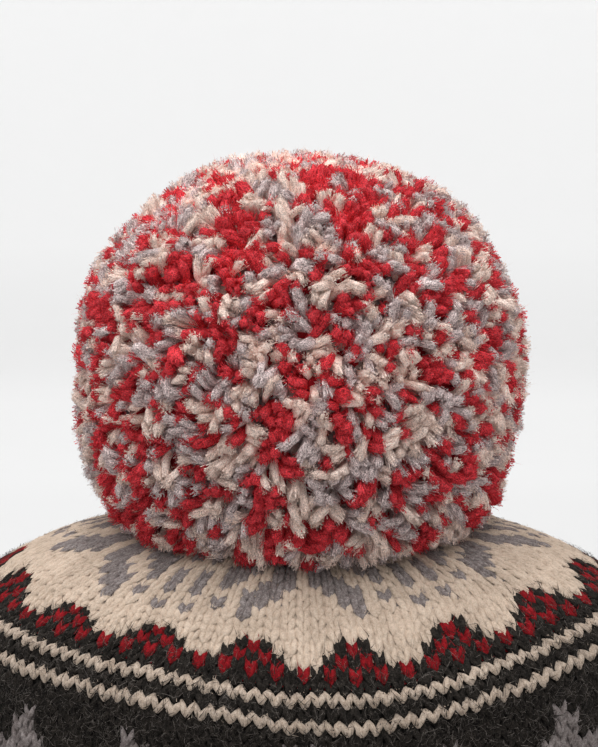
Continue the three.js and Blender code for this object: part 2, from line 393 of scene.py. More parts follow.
class CapShape:
    """The cap's outer face, by turn (radians round from the front) and climb (up from the stripe)."""

    def __init__(self, cap):
        self.half = np.array([cap.half_width, cap.half_depth]) / MM
        self.stripe = cap.stripe_height / MM
        self.rise = cap.dome_rise / MM
        self.saddle = cap.saddle / MM
        self.row = cap.row_height / MM
        self.stitches = cap.stitches
        self.table_face()
        self.rim_turns = np.linspace(0.0, 2.0 * np.pi, RIM_SAMPLES)
        x, y = self.half[0] * np.sin(self.rim_turns), self.half[1] * np.cos(self.rim_turns)
        self.rim_lengths = np.r_[0.0, np.cumsum(np.hypot(np.diff(x), np.diff(y)))]
        self.degrees = np.arange(-180.0, 181.0)
        self.wander = [self.rounded(ROW_WANDER, column) for column in (1, 2)]
        self.drift = [self.rounded(COLUMN_DRIFT, column) for column in (1, 2)]

    def table_face(self):
        """Tables the outer face's spread, height and share of the saddle at even climbs."""
        share = np.linspace(0.0, 1.0, DOME_SAMPLES)
        rings = np.array(BODY_RINGS)
        shares = np.r_[share, rings[:, 1]]
        heights = np.r_[self.rise * (1.0 - share**DOME_POWER), -rings[:, 0]]
        saddles = np.r_[share**2, rings[:, 2]]
        arc = np.r_[0.0, np.cumsum(np.hypot(np.diff(shares) * self.half.mean(), np.diff(heights)))]
        climbs = arc[DOME_SAMPLES - 1] - arc
        self.top_climb = climbs[0]
        self.low_climb = climbs[-1]
        self.climbs = np.arange(self.low_climb - BELOW_BODY, self.top_climb, CLIMB_STEP)
        self.shares, self.heights, self.saddles = (
            rounded_off(np.interp(self.climbs, climbs[::-1], values[::-1]), RING_BELL, "edge")
            for values in (shares, heights, saddles)
        )

    def rounded(self, table, column):
        """A column of a table round the cap, at every degree, with its corners rounded off."""
        line = np.interp(self.degrees, *np.array(table)[:, [0, column]].T, period=360.0)
        return rounded_off(line, ROUND_BELL, "wrap")

    def turn(self, part):
        """Turn of a place given as a part of a whole round, with equal lengths along the rim."""
        whole = np.floor(part)
        turn = np.interp((part - whole) * self.rim_lengths[-1], self.rim_lengths, self.rim_turns)
        return turn + whole * 2.0 * np.pi

    def rim(self, part):
        """Places on the floor under the lower edge of the outer face, and the ways out from them."""
        turn = self.turn(part)
        places = np.stack([self.half[0] * np.sin(turn), -self.half[1] * np.cos(turn)], -1)
        ways = np.stack([self.half[1] * np.sin(turn), -self.half[0] * np.cos(turn)], -1)
        return places * RIM_SPREAD, unit(ways)

    def place(self, turn, climb):
        """Points of the outer face."""
        share = np.interp(climb, self.climbs, self.shares)
        height = np.interp(climb, self.climbs, self.heights)
        saddle = np.interp(climb, self.climbs, self.saddles)
        x = self.half[0] * share * np.sin(turn)
        y = -self.half[1] * share * np.cos(turn)
        dome = np.clip(share * (1.0 - share) * 4.0, 0.0, 1.0) * (climb > 0.0)
        z = self.stripe + height - self.saddle * np.cos(2.0 * turn) * saddle
        for degrees, at, width, depth in DENTS:
            there = np.radians(degrees)
            gap = np.hypot(
                x - self.half[0] * at * np.sin(there),
                y + self.half[1] * at * np.cos(there),
            )
            z = z - depth * np.exp(-((gap / width) ** 2)) * dome
        return np.stack([x, y, z], -1)

    def normal(self, turn, climb):
        """Unit vectors pointing out of the outer face."""
        round_step, up_step = SLOPE_STEPS
        along = self.place(turn + round_step, climb) - self.place(turn - round_step, climb)
        up = self.place(turn, climb + up_step) - self.place(turn, climb - up_step)
        return unit(np.cross(along, up))

    def raised(self, turn, climb, height):
        """Points at a height above the outer face."""
        return self.place(turn, climb) + self.normal(turn, climb) * np.asarray(height)[..., None]

    def knitted(self, part, climb, height):
        """Points over the knitting at a part of the round, where rows and columns wander a little."""
        near = part_way(np.abs(climb - WANDER_MIDDLE), WANDER_REACH, -WANDER_FADE)
        leaves = part_way(climb, LEAVES_START, LEAVES_RISE)
        leaves = leaves * leaves * (3.0 - 2.0 * leaves)
        high = leaves * part_way(climb, LEAVES_END, -LEAVES_FADE)
        degrees = (part * 360.0 + 180.0) % 360.0 - 180.0
        lift, more_lift = (np.interp(degrees, self.degrees, line) for line in self.wander)
        shift, more_shift = (np.interp(degrees, self.degrees, line) / 360.0 for line in self.drift)
        turn = self.turn(part + shift * near + more_shift * high)
        return self.raised(turn, climb + lift * near + more_lift * high, height)

    def top_height(self, x, y):
        """Height of the outer face over a place on the floor, for places on the dome."""
        share = np.minimum(np.hypot(x / self.half[0], y / self.half[1]), 1.0)
        turn = np.arctan2(x, -y)
        dip = self.saddle * np.cos(2.0 * turn) * share**2
        return self.stripe + self.rise * (1.0 - share**DOME_POWER) - dip


def mesh_piece(name, points, faces, uv, materials, face_materials=None):
    """A smooth mesh object from millimetre points and arrays of faces, each with one corner count."""
    mesh = bpy.data.meshes.new(name)
    corners = np.concatenate([np.asarray(f, np.int32).ravel() for f in faces])
    sizes = np.concatenate([np.full(len(f), np.shape(f)[1], np.int32) for f in faces])
    mesh.vertices.add(len(points))
    mesh.vertices.foreach_set("co", (np.asarray(points) * MM).astype(np.float32).ravel())
    mesh.loops.add(len(corners))
    mesh.loops.foreach_set("vertex_index", corners)
    mesh.polygons.add(len(sizes))
    mesh.polygons.foreach_set("loop_start", np.r_[0, np.cumsum(sizes)[:-1]].astype(np.int32))
    if face_materials is not None:
        mesh.polygons.foreach_set("material_index", np.asarray(face_materials, np.int32))
    if uv is not None:
        layer = mesh.uv_layers.new(name=YARN_UV)
        layer.uv.foreach_set("vector", np.asarray(uv, np.float32)[corners].ravel())
    mesh.update(calc_edges=True)
    mesh.polygons.foreach_set("use_smooth", np.full(len(sizes), True))
    for material in materials:
        mesh.materials.append(material)
    piece = bpy.data.objects.new(name, mesh)
    bpy.context.scene.collection.objects.link(piece)
    return piece


def sleeve_faces(count, rings, spokes, closed):
    """Corner numbers of the quads on a number of sleeves, each of some rings of some points."""
    ring = np.arange(rings - 1)[:, None] * spokes
    spoke = np.arange(spokes if closed else spokes - 1)[None, :]
    after = (spoke + 1) % spokes
    corners = np.stack(
        [ring + spoke, ring + after, ring + spokes + after, ring + spokes + spoke], -1
    ).reshape(1, -1, 4)
    return (np.arange(count)[:, None, None] * rings * spokes + corners).reshape(-1, 4)


def wall_faces(rings, columns):
    """Quads of a wall whose rings go up its outer face and down its inner one, back to the first."""
    return sleeve_faces(1, rings + 1, columns, True) % (rings * columns)


def wall_uv(rings, columns, ring_gap):
    """Yarn coordinates of a wall, from the distance between its rings."""
    u = np.repeat(np.arange(rings) * ring_gap, columns)
    v = np.tile(np.arange(columns) * WALL_COLUMN_GAP, rings)
    return np.stack([u, v], -1)


class Nodes:
    """Short calls that add shader nodes to one material."""

    def __init__(self, name):
        self.material = bpy.data.materials.new(name)
        self.material.use_nodes = True
        self.tree = self.material.node_tree
        self.shader = self.tree.nodes["Principled BSDF"]

    def add(self, kind, **inputs):
        """A node of that kind with its inputs set, or linked where the value is a socket."""
        node = self.tree.nodes.new(kind)
        for key, value in inputs.items():
            self.feed(node.inputs[key.replace("_", " ").title()], value)
        return node

    def feed(self, socket, value):
        """Sets a socket, or links it where the value is another node's output."""
        if isinstance(value, bpy.types.NodeSocket):
            self.tree.links.new(value, socket)
        else:
            socket.default_value = value

    def surface(self, sockets):
        """Feeds sockets of the material's shader, by name."""
        for name, value in sockets.items():
            self.feed(self.shader.inputs[name], value)

    def object_place(self):
        """The place on the piece, in metres."""
        return self.add("ShaderNodeTexCoord").outputs["Object"]

    def noise(self, vector, scale, detail=2.0, roughness=0.5):
        """Soft noise from 0 to 1 over the given coordinates."""
        node = self.add("ShaderNodeTexNoise", vector=vector, scale=scale, detail=detail)
        node.inputs["Roughness"].default_value = roughness
        return node.outputs["Fac"]

    def ramp(self, value, stops):
        """Colours at places from 0 to 1 along a value."""
        node = self.add("ShaderNodeValToRGB")
        self.feed(node.inputs["Fac"], value)
        elements = node.color_ramp.elements
        while len(elements) < len(stops):
            elements.new(0.5)
        for element, (place, colour) in zip(elements, stops):
            element.position = place
            element.color = (*colour, 1.0)
        return node.outputs["Color"]

    def calculated(self, operation, first, second=0.0):
        """The result of a sum or comparison of two values."""
        node = self.add("ShaderNodeMath")
        node.operation = operation
        self.feed(node.inputs[0], first)
        self.feed(node.inputs[1], second)
        return node.outputs["Value"]

    def scaled(self, vector, scale):
        """Coordinates stretched along each axis."""
        node = self.add("ShaderNodeMapping", vector=vector)
        node.inputs["Scale"].default_value = scale
        return node.outputs["Vector"]

    def distance(self, vector, centre):
        """Distance of the coordinates from a centre."""
        node = self.add("ShaderNodeVectorMath")
        node.operation = "DISTANCE"
        self.feed(node.inputs[0], vector)
        self.feed(node.inputs[1], centre)
        return node.outputs["Value"]

    def shifted(self, vector, scale, share):
        """Coordinates drawn a small share of the way to a noise of that scale."""
        wander = self.add("ShaderNodeTexNoise", vector=vector, scale=scale, detail=2.0)
        node = self.add("ShaderNodeMix", factor=share)
        node.data_type = "VECTOR"
        self.feed(node.inputs[4], vector)
        self.feed(node.inputs[5], wander.outputs["Color"])
        return node.outputs[1]

    def mixed(self, kind, factor, first, second):
        """Two colours joined by a blend of that kind."""
        node = self.add("ShaderNodeMix", factor=factor)
        node.data_type = "RGBA"
        node.blend_type = kind
        self.feed(node.inputs[6], first)
        self.feed(node.inputs[7], second)
        return node.outputs[2]

    def hair_lines(self, place, scale, width):
        """Thin curling lines, 1 on a line and 0 off it, where a soft noise passes its middle value."""
        level = self.noise(place, scale, 1.5, 0.4)
        away = self.calculated("ABSOLUTE", self.calculated("SUBTRACT", level, 0.5))
        return self.calculated("LESS_THAN", away, width)


def shade(colour, factor):
    """A colour made darker or lighter by a factor."""
    return tuple(min(channel * factor, 1.0) for channel in colour)


def blend(first, second, part):
    """A colour between two others."""
    return tuple(a + (b - a) * part for a, b in zip(first, second))


def neutral(level):
    """A colour with three equal channels."""
    return (level, level, level)


# Noises of the wool: streaks along the yarn, blotches, slow clouds and single specks
STREAK_STRETCH = (0.9, 9.0, 1.0)
BLOTCH_SCALE = 330.0
CLOUD_SCALE = 110.0
SPECK_SCALE = 2600.0
# Noise levels: how far under and over the middle a streak is full, and where a tone starts and ends
STREAK_UNDER = 0.20
STREAK_OVER = 0.22
BLOTCH_LEVELS = (0.32, 0.66)
SPECK_LEVELS = (0.38, 0.62)
CLOUD_TONES = ((0.35, (0.90, 0.89, 0.88)), (0.65, neutral(1.08)))
# How far some tones go from the wool's colour to its flecks, and how dark the dim patches are
STREAK_FLECK = 0.55
PATCH_FLECK = 0.15
HAIR_FLECK = 0.9
SHEEN_FLECK = 0.7
PATCH_SHADE = 0.7
# Curled hairs drawn on the wool: (scale of the noise, width of the line)
HAIR_LINES = ((310.0, 0.012), (470.0, 0.016), (720.0, 0.02))
STREAK_RELIEF = {"strength": 0.8, "distance": 0.0004}
SPECK_RELIEF = {"strength": 0.5, "distance": 0.0002}
WOOL_SURFACE = {"Roughness": 0.95, "Specular IOR Level": 0.15, "Sheen Roughness": 0.55}
# Painted light, for the light that soaks in between the strands, brighter nearer the middle: (distance
# from the middle in tenths of a metre, brightening)
DEPTH_SCALE = 10.0
DEPTH_GLOW = ((0.50, (2.0, 1.75, 1.75)), (0.62, neutral(1.0)))


def wool(
    name,
    colour,
    fleck,
    depth=0.5,
    streak=1.0,
    sheen=0.3,
    hairs=0.35,
    specked=0.16,
    crisp=1.0,
    patchy=0.22,
    glow_centre=None,
):
    """Heathered wool: streaks of lighter and darker fibre along the yarn, with a fibrous relief."""
    nodes = Nodes(name)
    yarn = nodes.add("ShaderNodeUVMap")
    yarn.uv_map = YARN_UV
    place = nodes.object_place()
    streaks = nodes.noise(nodes.scaled(yarn.outputs["UV"], STREAK_STRETCH), 1.0, 3.0, 0.6)
    blotches = nodes.noise(place, BLOTCH_SCALE, 2.0, 0.55)
    clouds = nodes.noise(place, CLOUD_SCALE, 1.0)
    specks = nodes.noise(place, SPECK_SCALE, 1.0)
    streaked = nodes.ramp(
        streaks,
        (
            (0.50 - STREAK_UNDER / crisp, shade(colour, 1.0 - depth)),
            (0.50, colour),
            (0.50 + STREAK_OVER / crisp, blend(colour, fleck, STREAK_FLECK * streak)),
        ),
    )
    dim_patch = shade(blend(colour, fleck, PATCH_FLECK), PATCH_SHADE)
    patches = nodes.ramp(blotches, tuple(zip(BLOTCH_LEVELS, (dim_patch, fleck))))
    toned = nodes.mixed("MIX", patchy, streaked, patches)
    speck_tones = (neutral(1.0 - specked), neutral(1.0 + specked))
    speckle = nodes.ramp(specks, tuple(zip(SPECK_LEVELS, speck_tones)))
    toned = nodes.mixed("MULTIPLY", 1.0, toned, speckle)
    toned = nodes.mixed("MULTIPLY", 1.0, toned, nodes.ramp(clouds, CLOUD_TONES))
    for scale, width in HAIR_LINES:
        line = nodes.calculated("MULTIPLY", nodes.hair_lines(place, scale, width), hairs)
        toned = nodes.mixed("MIX", line, toned, (*blend(colour, fleck, HAIR_FLECK), 1.0))
    # Painted light: the colour brightened towards the glow's centre, deep among the strands
    if glow_centre is not None:
        deep = nodes.calculated("MULTIPLY", nodes.distance(place, glow_centre), DEPTH_SCALE)
        toned = nodes.mixed("MULTIPLY", 1.0, toned, nodes.ramp(deep, DEPTH_GLOW))
    coarse = nodes.add("ShaderNodeBump", height=streaks, **STREAK_RELIEF)
    fine = nodes.add("ShaderNodeBump", height=specks, normal=coarse.outputs["Normal"], **SPECK_RELIEF)
    nodes.surface(WOOL_SURFACE)
    nodes.surface(
        {
            "Base Color": toned,
            "Sheen Weight": sheen,
            "Sheen Tint": (*blend(colour, fleck, SHEEN_FLECK), 1.0),
            "Normal": fine.outputs["Normal"],
        }
    )
    return nodes.material


# The pack of yarn ends between the strands: scale and share of the noise that its cells wander by,
# the cells' own scale, and where each colour's share of them starts
ENDS_WANDER = (700.0, 0.0022)
ENDS_SCALE = 330.0
ENDS_SHARES = (0.0, 0.40, 0.73)
# Painted shade on it, from the middle of a cell to its darker edge where the ends meet, and the tones of
# its specks
ENDS_PAINTED_SHADE = ((0.1, neutral(0.9)), (0.55, neutral(0.45)))
ENDS_SPECKS = ((0.35, neutral(0.6)), (0.65, neutral(1.0)))
ENDS_SURFACE = {"Roughness": 0.95, "Specular IOR Level": 0.1}


def packed_ends(name, colours):
    """The pompom seen between its strands: a pack of yarn ends in its three colours, darkened with
    painted shade, most at the edges of its cells.
    """
    nodes = Nodes(name)
    place = nodes.object_place()
    cells = nodes.add(
        "ShaderNodeTexVoronoi", vector=nodes.shifted(place, *ENDS_WANDER), scale=ENDS_SCALE
    )
    parts = nodes.add("ShaderNodeSeparateColor", color=cells.outputs["Color"]).outputs["Red"]
    toned = nodes.ramp(parts, tuple(zip(ENDS_SHARES, colours)))
    toned.node.color_ramp.interpolation = "CONSTANT"
    toned = nodes.mixed("MULTIPLY", 1.0, toned, nodes.ramp(cells.outputs["Distance"], ENDS_PAINTED_SHADE))
    specks = nodes.noise(place, SPECK_SCALE, 1.0)
    toned = nodes.mixed("MULTIPLY", 1.0, toned, nodes.ramp(specks, ENDS_SPECKS))
    nodes.surface(ENDS_SURFACE | {"Base Color": toned})
    return nodes.material


def finish_materials():
    """The wools of the cap and the pompom, made once and found by name after that."""
    if "wool_cream" in bpy.data.materials:
        return bpy.data.materials
    scene = bpy.context.scene
    cap, pompom = scene.toque_cap, scene.toque_pompom
    wool("wool_cream", cap.cream, (0.66, 0.56, 0.465), depth=0.26, hairs=0.25, specked=0.1)
    # The stripe wool is the cream darkened: painted shade on the stripes, which sit low between charcoal
    # rows, and partly the darkening of the charcoal fibres that lie over them
    wool("wool_stripe", shade(cap.cream, 0.76), (0.62, 0.53, 0.45), depth=0.45, hairs=0.25)
    hairy = {"depth": 0.8, "streak": 0.3, "sheen": 0.0, "hairs": 0.5, "specked": 0.3, "patchy": 0.24}
    wool("wool_charcoal", cap.charcoal, (0.052, 0.043, 0.036), **hairy)
    # The deep wool is the charcoal at half its brightness: painted shade for the fabric deep in the gaps
    # between the stitches
    wool("wool_deep", shade(cap.charcoal, 0.5), (0.012, 0.010, 0.009), sheen=0.0, hairs=0.1)
    wool("wool_stray", (0.10, 0.087, 0.078), (0.34, 0.30, 0.27), depth=0.9, streak=1.4, sheen=0.0)
    wool("wool_red", cap.red, (0.39, 0.013, 0.019), depth=0.6, sheen=0.0)
    wool("wool_grey", cap.grey, (0.42, 0.38, 0.37), depth=0.5, sheen=0.15)
    # The pompom's wools get painted light, brighter towards its middle
    puffed = {"specked": 0.52, "crisp": 2.0, "glow_centre": (0.0, 0.0, pompom.centre_height)}
    wool("pompom_red", pompom.red, (0.78, 0.10, 0.12), depth=0.5, **puffed)
    wool("pompom_cream", pompom.cream, (0.95, 0.83, 0.76), depth=0.32, **(puffed | {"specked": 0.34}))
    wool("pompom_grey", pompom.grey, (0.96, 0.84, 0.82), depth=0.75, **puffed)
    packed_ends("pompom_core", (pompom.red, pompom.cream, pompom.grey))
    return bpy.data.materials


# The body's stars: columns after which they come again, columns and row of their middles, and the
# first and last stitch of each row of a petal, out from the middle
STAR_PERIOD = 48
STAR_COLUMNS = (14, 32)
STAR_ROW = -13
STAR_PETAL = ((9, 0), (1, 1), (1, 2), (1, 3), (1, 4), (2, 5), (3, 5), (4, 5), (4, 4), (9, 0))
# The crosses between the stars, one row after another downwards, out from their middle
CROSS_ROWS = ("KGK", "GKK", "KGK", "KKK")


def chart_colours(chart):
    """Colour numbers of a chart's letters."""
    return np.array([CHART_LETTERS.index(letter) for letter in chart])


def in_petal(across, up):
    """Whether places out from the middle of a star are on its upright petals."""
    first, last = np.array(STAR_PETAL)[np.minimum(up, len(STAR_PETAL) - 1)].T
    return (across >= first) & (across <= last)


def body_colour(column, row):
    """Colours of a row of the body: eight-petalled stars, with small crosses between."""
    across = column % STAR_PERIOD
    from_star = np.min([np.abs(across - middle) for middle in STAR_COLUMNS], 0)
    from_middle = abs(row - STAR_ROW)
    star = in_petal(from_star, from_middle) | in_petal(from_middle, from_star)
    crosses = chart_colours(CROSS_ROWS[-row % len(CROSS_ROWS)])
    from_cross = np.minimum(across, STAR_PERIOD - across)
    return np.where(star, GREY, crosses[np.minimum(from_cross, len(crosses) - 1)])


def crown_colour(column, row):
    """Colours of a row above the body, whose chart is mirrored about the middle of each pattern."""
    colours = chart_colours(CHART_ROWS.get(row, TOP_CHART_ROW))
    period = 2 * (len(colours) - 1)
    across = column % period
    return colours[np.minimum(across, period - across)]


def chart_row(row, stitches):
    """The number of stitches in a row and the colour of each."""
    count = stitches
    if row >= SECOND_DECREASE_ROW:
        count = stitches // 2
    elif row >= FIRST_DECREASE_ROW:
        count = stitches * 3 // 4
    colour = body_colour if row <= BODY_TOP_ROW else crown_colour
    return count, colour(np.arange(count), row)


# An arm of a stitch, from its point up: place across, place up, half width, lift, thickness.
# The first three are parts of a stitch and a row, the last two are millimetres
WIDE_ARM = np.array(
    [
        (0.03, -0.80, 0.08, 0.10, 0.25),
        (0.13, -0.45, 0.20, 0.15, 0.65),
        (0.25, -0.05, 0.24, 0.05, 0.80),
        (0.36, 0.32, 0.22, -0.20, 0.70),
        (0.46, 0.62, 0.14, -0.50, 0.35),
    ]
)
STRIPE_ARM = np.array(
    [
        (0.01, -0.66, 0.11, 0.30, 0.25),
        (0.11, -0.40, 0.23, 0.45, 0.65),
        (0.24, -0.03, 0.28, 0.40, 0.85),
        (0.37, 0.32, 0.23, 0.10, 0.65),
        (0.49, 0.60, 0.09, -0.40, 0.20),
    ]
)
TALL_ARM = np.array(
    [
        (0.04, -0.86, 0.06, 0.25, 0.25),
        (0.15, -0.50, 0.20, 0.25, 0.60),
        (0.235, -0.05, 0.27, 0.20, 0.75),
        (0.275, 0.40, 0.265, 0.00, 0.70),
        (0.31, 0.80, 0.17, -0.30, 0.40),
    ]
)
ARM_SPOKES = np.radians([-84.0, -30.0, 30.0, 84.0])
# Where a stitch has its middle over the level of its row, as a part of a row
STITCH_MIDDLE = 0.66
# Spread of the differences between stitches, in parts of a stitch or a row but for the height's
LEAN_SPREAD = 0.035
GIRTH_SPREAD = 0.07
ACROSS_SPREAD = 0.025
STRETCH_SPREAD = 0.05
UP_SPREAD = 0.05
HEIGHT_SPREAD = 0.12
# Yarn coordinates: how far along its streaks a yarn may start, and how they slant on an arm
YARN_START = 60.0
ARM_SLANT = 0.06
# Loose fibres of each wool: how many to a stitch, their reach, and how high they lie in millimetres
STITCH_FIBRES = {
    "stripe": (6, 0.4, 0.8),
    "crossing": (5, 0.8, 1.15),
    "cream": (9, 0.65, 0.8),
    "charcoal": (13, 1.3, 1.2),
    "red": (12, 0.75, 0.8),
    "grey": (10, 0.9, 0.8),
}
# A loose fibre's root, in parts of a stitch and a row from the stitch's middle, and in millimetres its
# half width and how far its height varies
FIBRE_ACROSS = (-0.5, 0.5)
FIBRE_UP = (-0.7, 0.6)
FIBRE_WIDTHS = (0.07, 0.14)
FIBRE_LIFT = 0.3
# Spread of its heading, its length (shape and scale of a gamma draw), and how its tip stands off
FIBRE_TURN = 0.8
FIBRE_LENGTH = (4.0, 0.42)
FIBRE_TIP = (0.1, 0.35)
FIBRE_UV = np.array([(0.0, 0.0), (0.0, 0.05), (2.0, 0.02)])


def stitch_arms(rings, parts, widths, climbs, row, rng, raised):
    """Points, faces and yarn coordinates of V stitches at the given parts of a round and climbs."""
    count = len(parts)
    lean = rng.normal(0.0, LEAN_SPREAD, (count, 1, 1, 1))
    grow = rng.normal(1.0, GIRTH_SPREAD, (count, 1, 1, 1))
    side = np.array([-1.0, 1.0])[None, :, None, None]
    across, up, half, rise, thick = (column[None, None, :, None] for column in rings.T)
    spoke = ARM_SPOKES[None, None, None, :]
    x = side * across + lean * up + half * grow * np.sin(spoke)
    x = x + rng.normal(0.0, ACROSS_SPREAD, (count, 2, len(rings), 1))
    stretch = rng.normal(1.0, STRETCH_SPREAD, (count, 2, 1, 1))
    y = up * stretch + rng.normal(0.0, UP_SPREAD, (count, 1, 1, 1))
    h = rise + thick * grow * np.cos(spoke) + rng.normal(0.0, HEIGHT_SPREAD, (count, 2, 1, 1))
    y = np.broadcast_to(y, x.shape)
    h = np.broadcast_to(h, x.shape)
    part = parts[:, None, None, None] + x * widths[:, None, None, None]
    climb = climbs[:, None, None, None] + y * row
    points = raised(part, climb, h)
    along = up * row
    start = rng.uniform(0.0, YARN_START, (count, 2, 1, 1))
    around = np.linspace(0.0, 0.5, len(ARM_SPOKES))[None, None, None, :] + start
    uv = np.stack(np.broadcast_arrays(along + start, around + ARM_SLANT * along * side), -1)
    faces = sleeve_faces(count * 2, len(rings), len(ARM_SPOKES), False)
    return points.reshape(-1, 3), faces[:, ::-1], uv.reshape(-1, 2)


def stitch_fibres(places, rng, kind, raised):
    """Loose fibres on the stitches at some places, one thin triangle each."""
    shape, parts, widths, climbs = places
    per_stitch, reach, lift = kind
    count = len(parts) * per_stitch
    pick = np.repeat(np.arange(len(parts)), per_stitch)
    part = parts[pick] + rng.uniform(*FIBRE_ACROSS, count) * widths[pick]
    climb = climbs[pick] + rng.uniform(*FIBRE_UP, count) * shape.row
    heading = np.pi / 2 + rng.normal(0.0, FIBRE_TURN, count)
    length = rng.gamma(*FIBRE_LENGTH, count) * reach
    width = rng.uniform(*FIBRE_WIDTHS, count)
    around = 2.0 * np.pi * shape.half.mean()
    dx = np.cos(heading) * length / around
    dy = np.sin(heading) * length
    side_x = -np.sin(heading) * width / around
    side_y = np.cos(heading) * width
    low = rng.uniform(lift - FIBRE_LIFT, lift + FIBRE_LIFT, count)
    high = low + np.abs(rng.normal(*FIBRE_TIP, count)) * np.sqrt(reach)
    corners = [
        raised(part - side_x, climb - side_y, low),
        raised(part + side_x, climb + side_y, low),
        raised(part + dx, climb + dy, high),
    ]
    points = np.stack(corners, 1).reshape(-1, 3)
    uv = rng.uniform(0.0, YARN_START, (count, 1, 2)) + FIBRE_UV
    return points, np.arange(count * 3).reshape(-1, 3), uv.reshape(-1, 2)


# Rows between which the strays lie, and how many there are between each two
STRAY_LEVELS = (LOWEST_ROW + 1, -9, 1.2, 4)
STRAY_COUNTS = (3000, 10400, 1300)
# A stray's points, the spread of its curl, its length (shape and scale of a gamma draw), half width
# and lowest height in millimetres, how far its middle may stand off, and how much its tip narrows
STRAY_STEPS = 4
STRAY_CURL = 0.9
STRAY_LENGTH = (3.0, 1.1)
STRAY_WIDTHS = (0.03, 0.055)
STRAY_HEIGHT = 1.0
STRAY_ARCH = 1.1
STRAY_TAPER = 0.8


def stray_fibres(shape, low_climb, high_climb, count, rng):
    """Long pale fibres that wander over the knitting, each a narrow curved ribbon."""
    part = rng.uniform(0.0, 1.0, (count, 1))
    climb = rng.uniform(low_climb, high_climb, (count, 1))
    heading = rng.uniform(0.0, 2.0 * np.pi, (count, 1))
    curl = rng.normal(0.0, STRAY_CURL, (count, 1))
    length = rng.gamma(*STRAY_LENGTH, (count, 1))
    width = rng.uniform(*STRAY_WIDTHS, (count, 1))
    around = 2.0 * np.pi * shape.half.mean()
    t = np.linspace(0.0, 1.0, STRAY_STEPS)[None, :]
    angle = heading + curl * t * length
    dx = np.cumsum(np.cos(angle), 1) * length / STRAY_STEPS
    dy = np.cumsum(np.sin(angle), 1) * length / STRAY_STEPS
    height = STRAY_HEIGHT + np.sin(np.pi * t * 0.8) * rng.uniform(0.0, STRAY_ARCH, (count, 1))
    taper = 1.0 - STRAY_TAPER * t
    sides = []
    for sign in (-1.0, 1.0):
        off_x = -np.sin(angle) * width * taper * sign
        off_y = np.cos(angle) * width * taper * sign
        sides.append(shape.knitted(part + (dx + off_x) / around, climb + dy + off_y, height))
    points = np.stack(sides, 2).reshape(-1, 3)
    uv = np.stack(np.broadcast_arrays(t * length + heading, np.zeros((1, 1))), -1)
    uv = np.repeat(uv[:, :, None], 2, axis=2).reshape(-1, 2)
    return points, sleeve_faces(count, STRAY_STEPS, 2, False), uv


def joined(parts):
    """Several (points, faces, uv) sets as one set of points, a list of faces, and uv."""
    points, faces, uvs, start = [], [], [], 0
    for some_points, some_faces, some_uv in parts:
        points.append(some_points)
        faces.append(some_faces + start)
        uvs.append(some_uv)
        start += len(some_points)
    return np.concatenate(points), faces, np.concatenate(uvs)


# How a row sways from level round the cap: (millimetres, waves to a round, shift from row to row)
ROW_SWAY = ((0.2, 11, 1.3), (0.15, 23, 0.0))
CLIMB_SPREAD = 0.1


def chart_stitches(shape, low_row, high_row, rng):
    """Place, width, climb, colour and row of every stitch in some rows, with a little unevenness."""
    rows = []
    for row in range(low_row, high_row + 1):
        count, colour = chart_row(row, shape.stitches)
        part = np.arange(count) / count
        turn = part * 2.0 * np.pi
        sway = sum(much * np.sin(turn * waves + row * shift) for much, waves, shift in ROW_SWAY)
        climb = (row + STITCH_MIDDLE) * shape.row + sway + rng.normal(0.0, CLIMB_SPREAD, count)
        rows.append(np.stack([part, np.full(count, 1.0 / count), climb, colour, np.full(count, row)], -1))
    return np.concatenate(rows)


# Every stitch has its loose fibres from this row up, and every third below it
LOWEST_HAIRY_ROW = -9


def knit_rows(prefix, low_row, high_row):
    """Knits some rows of the chart, as one piece of each colour."""
    cap = bpy.context.scene.toque_cap
    shape = CapShape(cap)
    rng = np.random.default_rng(cap.seed + low_row + 100)
    stitches = chart_stitches(shape, low_row, high_row, rng)
    kinds = np.where(np.isin(stitches[:, 4], STRIPE_ROWS), 1, 0)
    kinds = np.where(stitches[:, 4] >= FIRST_TALL_ROW, 2, kinds)
    parts = {}
    for colour, name in enumerate(COLOURS):
        for kind, rings in enumerate((WIDE_ARM, STRIPE_ARM, TALL_ARM)):
            mine = stitches[(stitches[:, 3] == colour) & (kinds == kind)]
            if len(mine) == 0:
                continue
            # The cream stripes take the stripe wool, whose darker colour is partly painted shade
            wool_name = "stripe" if rings is STRIPE_ARM else name
            part, width, climb = mine[:, 0], mine[:, 1], mine[:, 2]
            some = parts.setdefault(wool_name, [])
            some.append(stitch_arms(rings, part, width, climb, shape.row, rng, shape.knitted))
            hairy = (mine[:, 4] >= LOWEST_HAIRY_ROW) | (np.arange(len(mine)) % 3 == 0)
            places = (shape, part[hairy], width[hairy], climb[hairy])
            some.append(stitch_fibres(places, rng, STITCH_FIBRES[wool_name], shape.knitted))
            if rings is STRIPE_ARM:
                crossing = stitch_fibres(places, rng, STITCH_FIBRES["crossing"], shape.knitted)
                parts.setdefault("charcoal", []).append(crossing)
    for wool_name, some in parts.items():
        points, faces, uv = joined(some)
        wools = [finish_materials()[f"wool_{wool_name}"]]
        piece = mesh_piece(f"{prefix}_{wool_name}_stitches", points, faces, uv, wools)
        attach(piece, BODY)


class TOQUE_OT_knit_crown(bpy.types.Operator):
    """Knit the crown: the stripes, the checks, the petals and the leaves"""

    bl_idname = "toque.knit_crown"
    bl_label = "Knit Crown"

    def execute(self, context):
        knit_rows("crown", BODY_TOP_ROW + 1, HIGHEST_ROW)
        return {"FINISHED"}


class TOQUE_OT_knit_body(bpy.types.Operator):
    """Knit the body of the cap below the stripes"""

    bl_idname = "toque.knit_body"
    bl_label = "Knit Body"

    def execute(self, context):
        knit_rows("body", LOWEST_ROW, BODY_TOP_ROW)
        return {"FINISHED"}


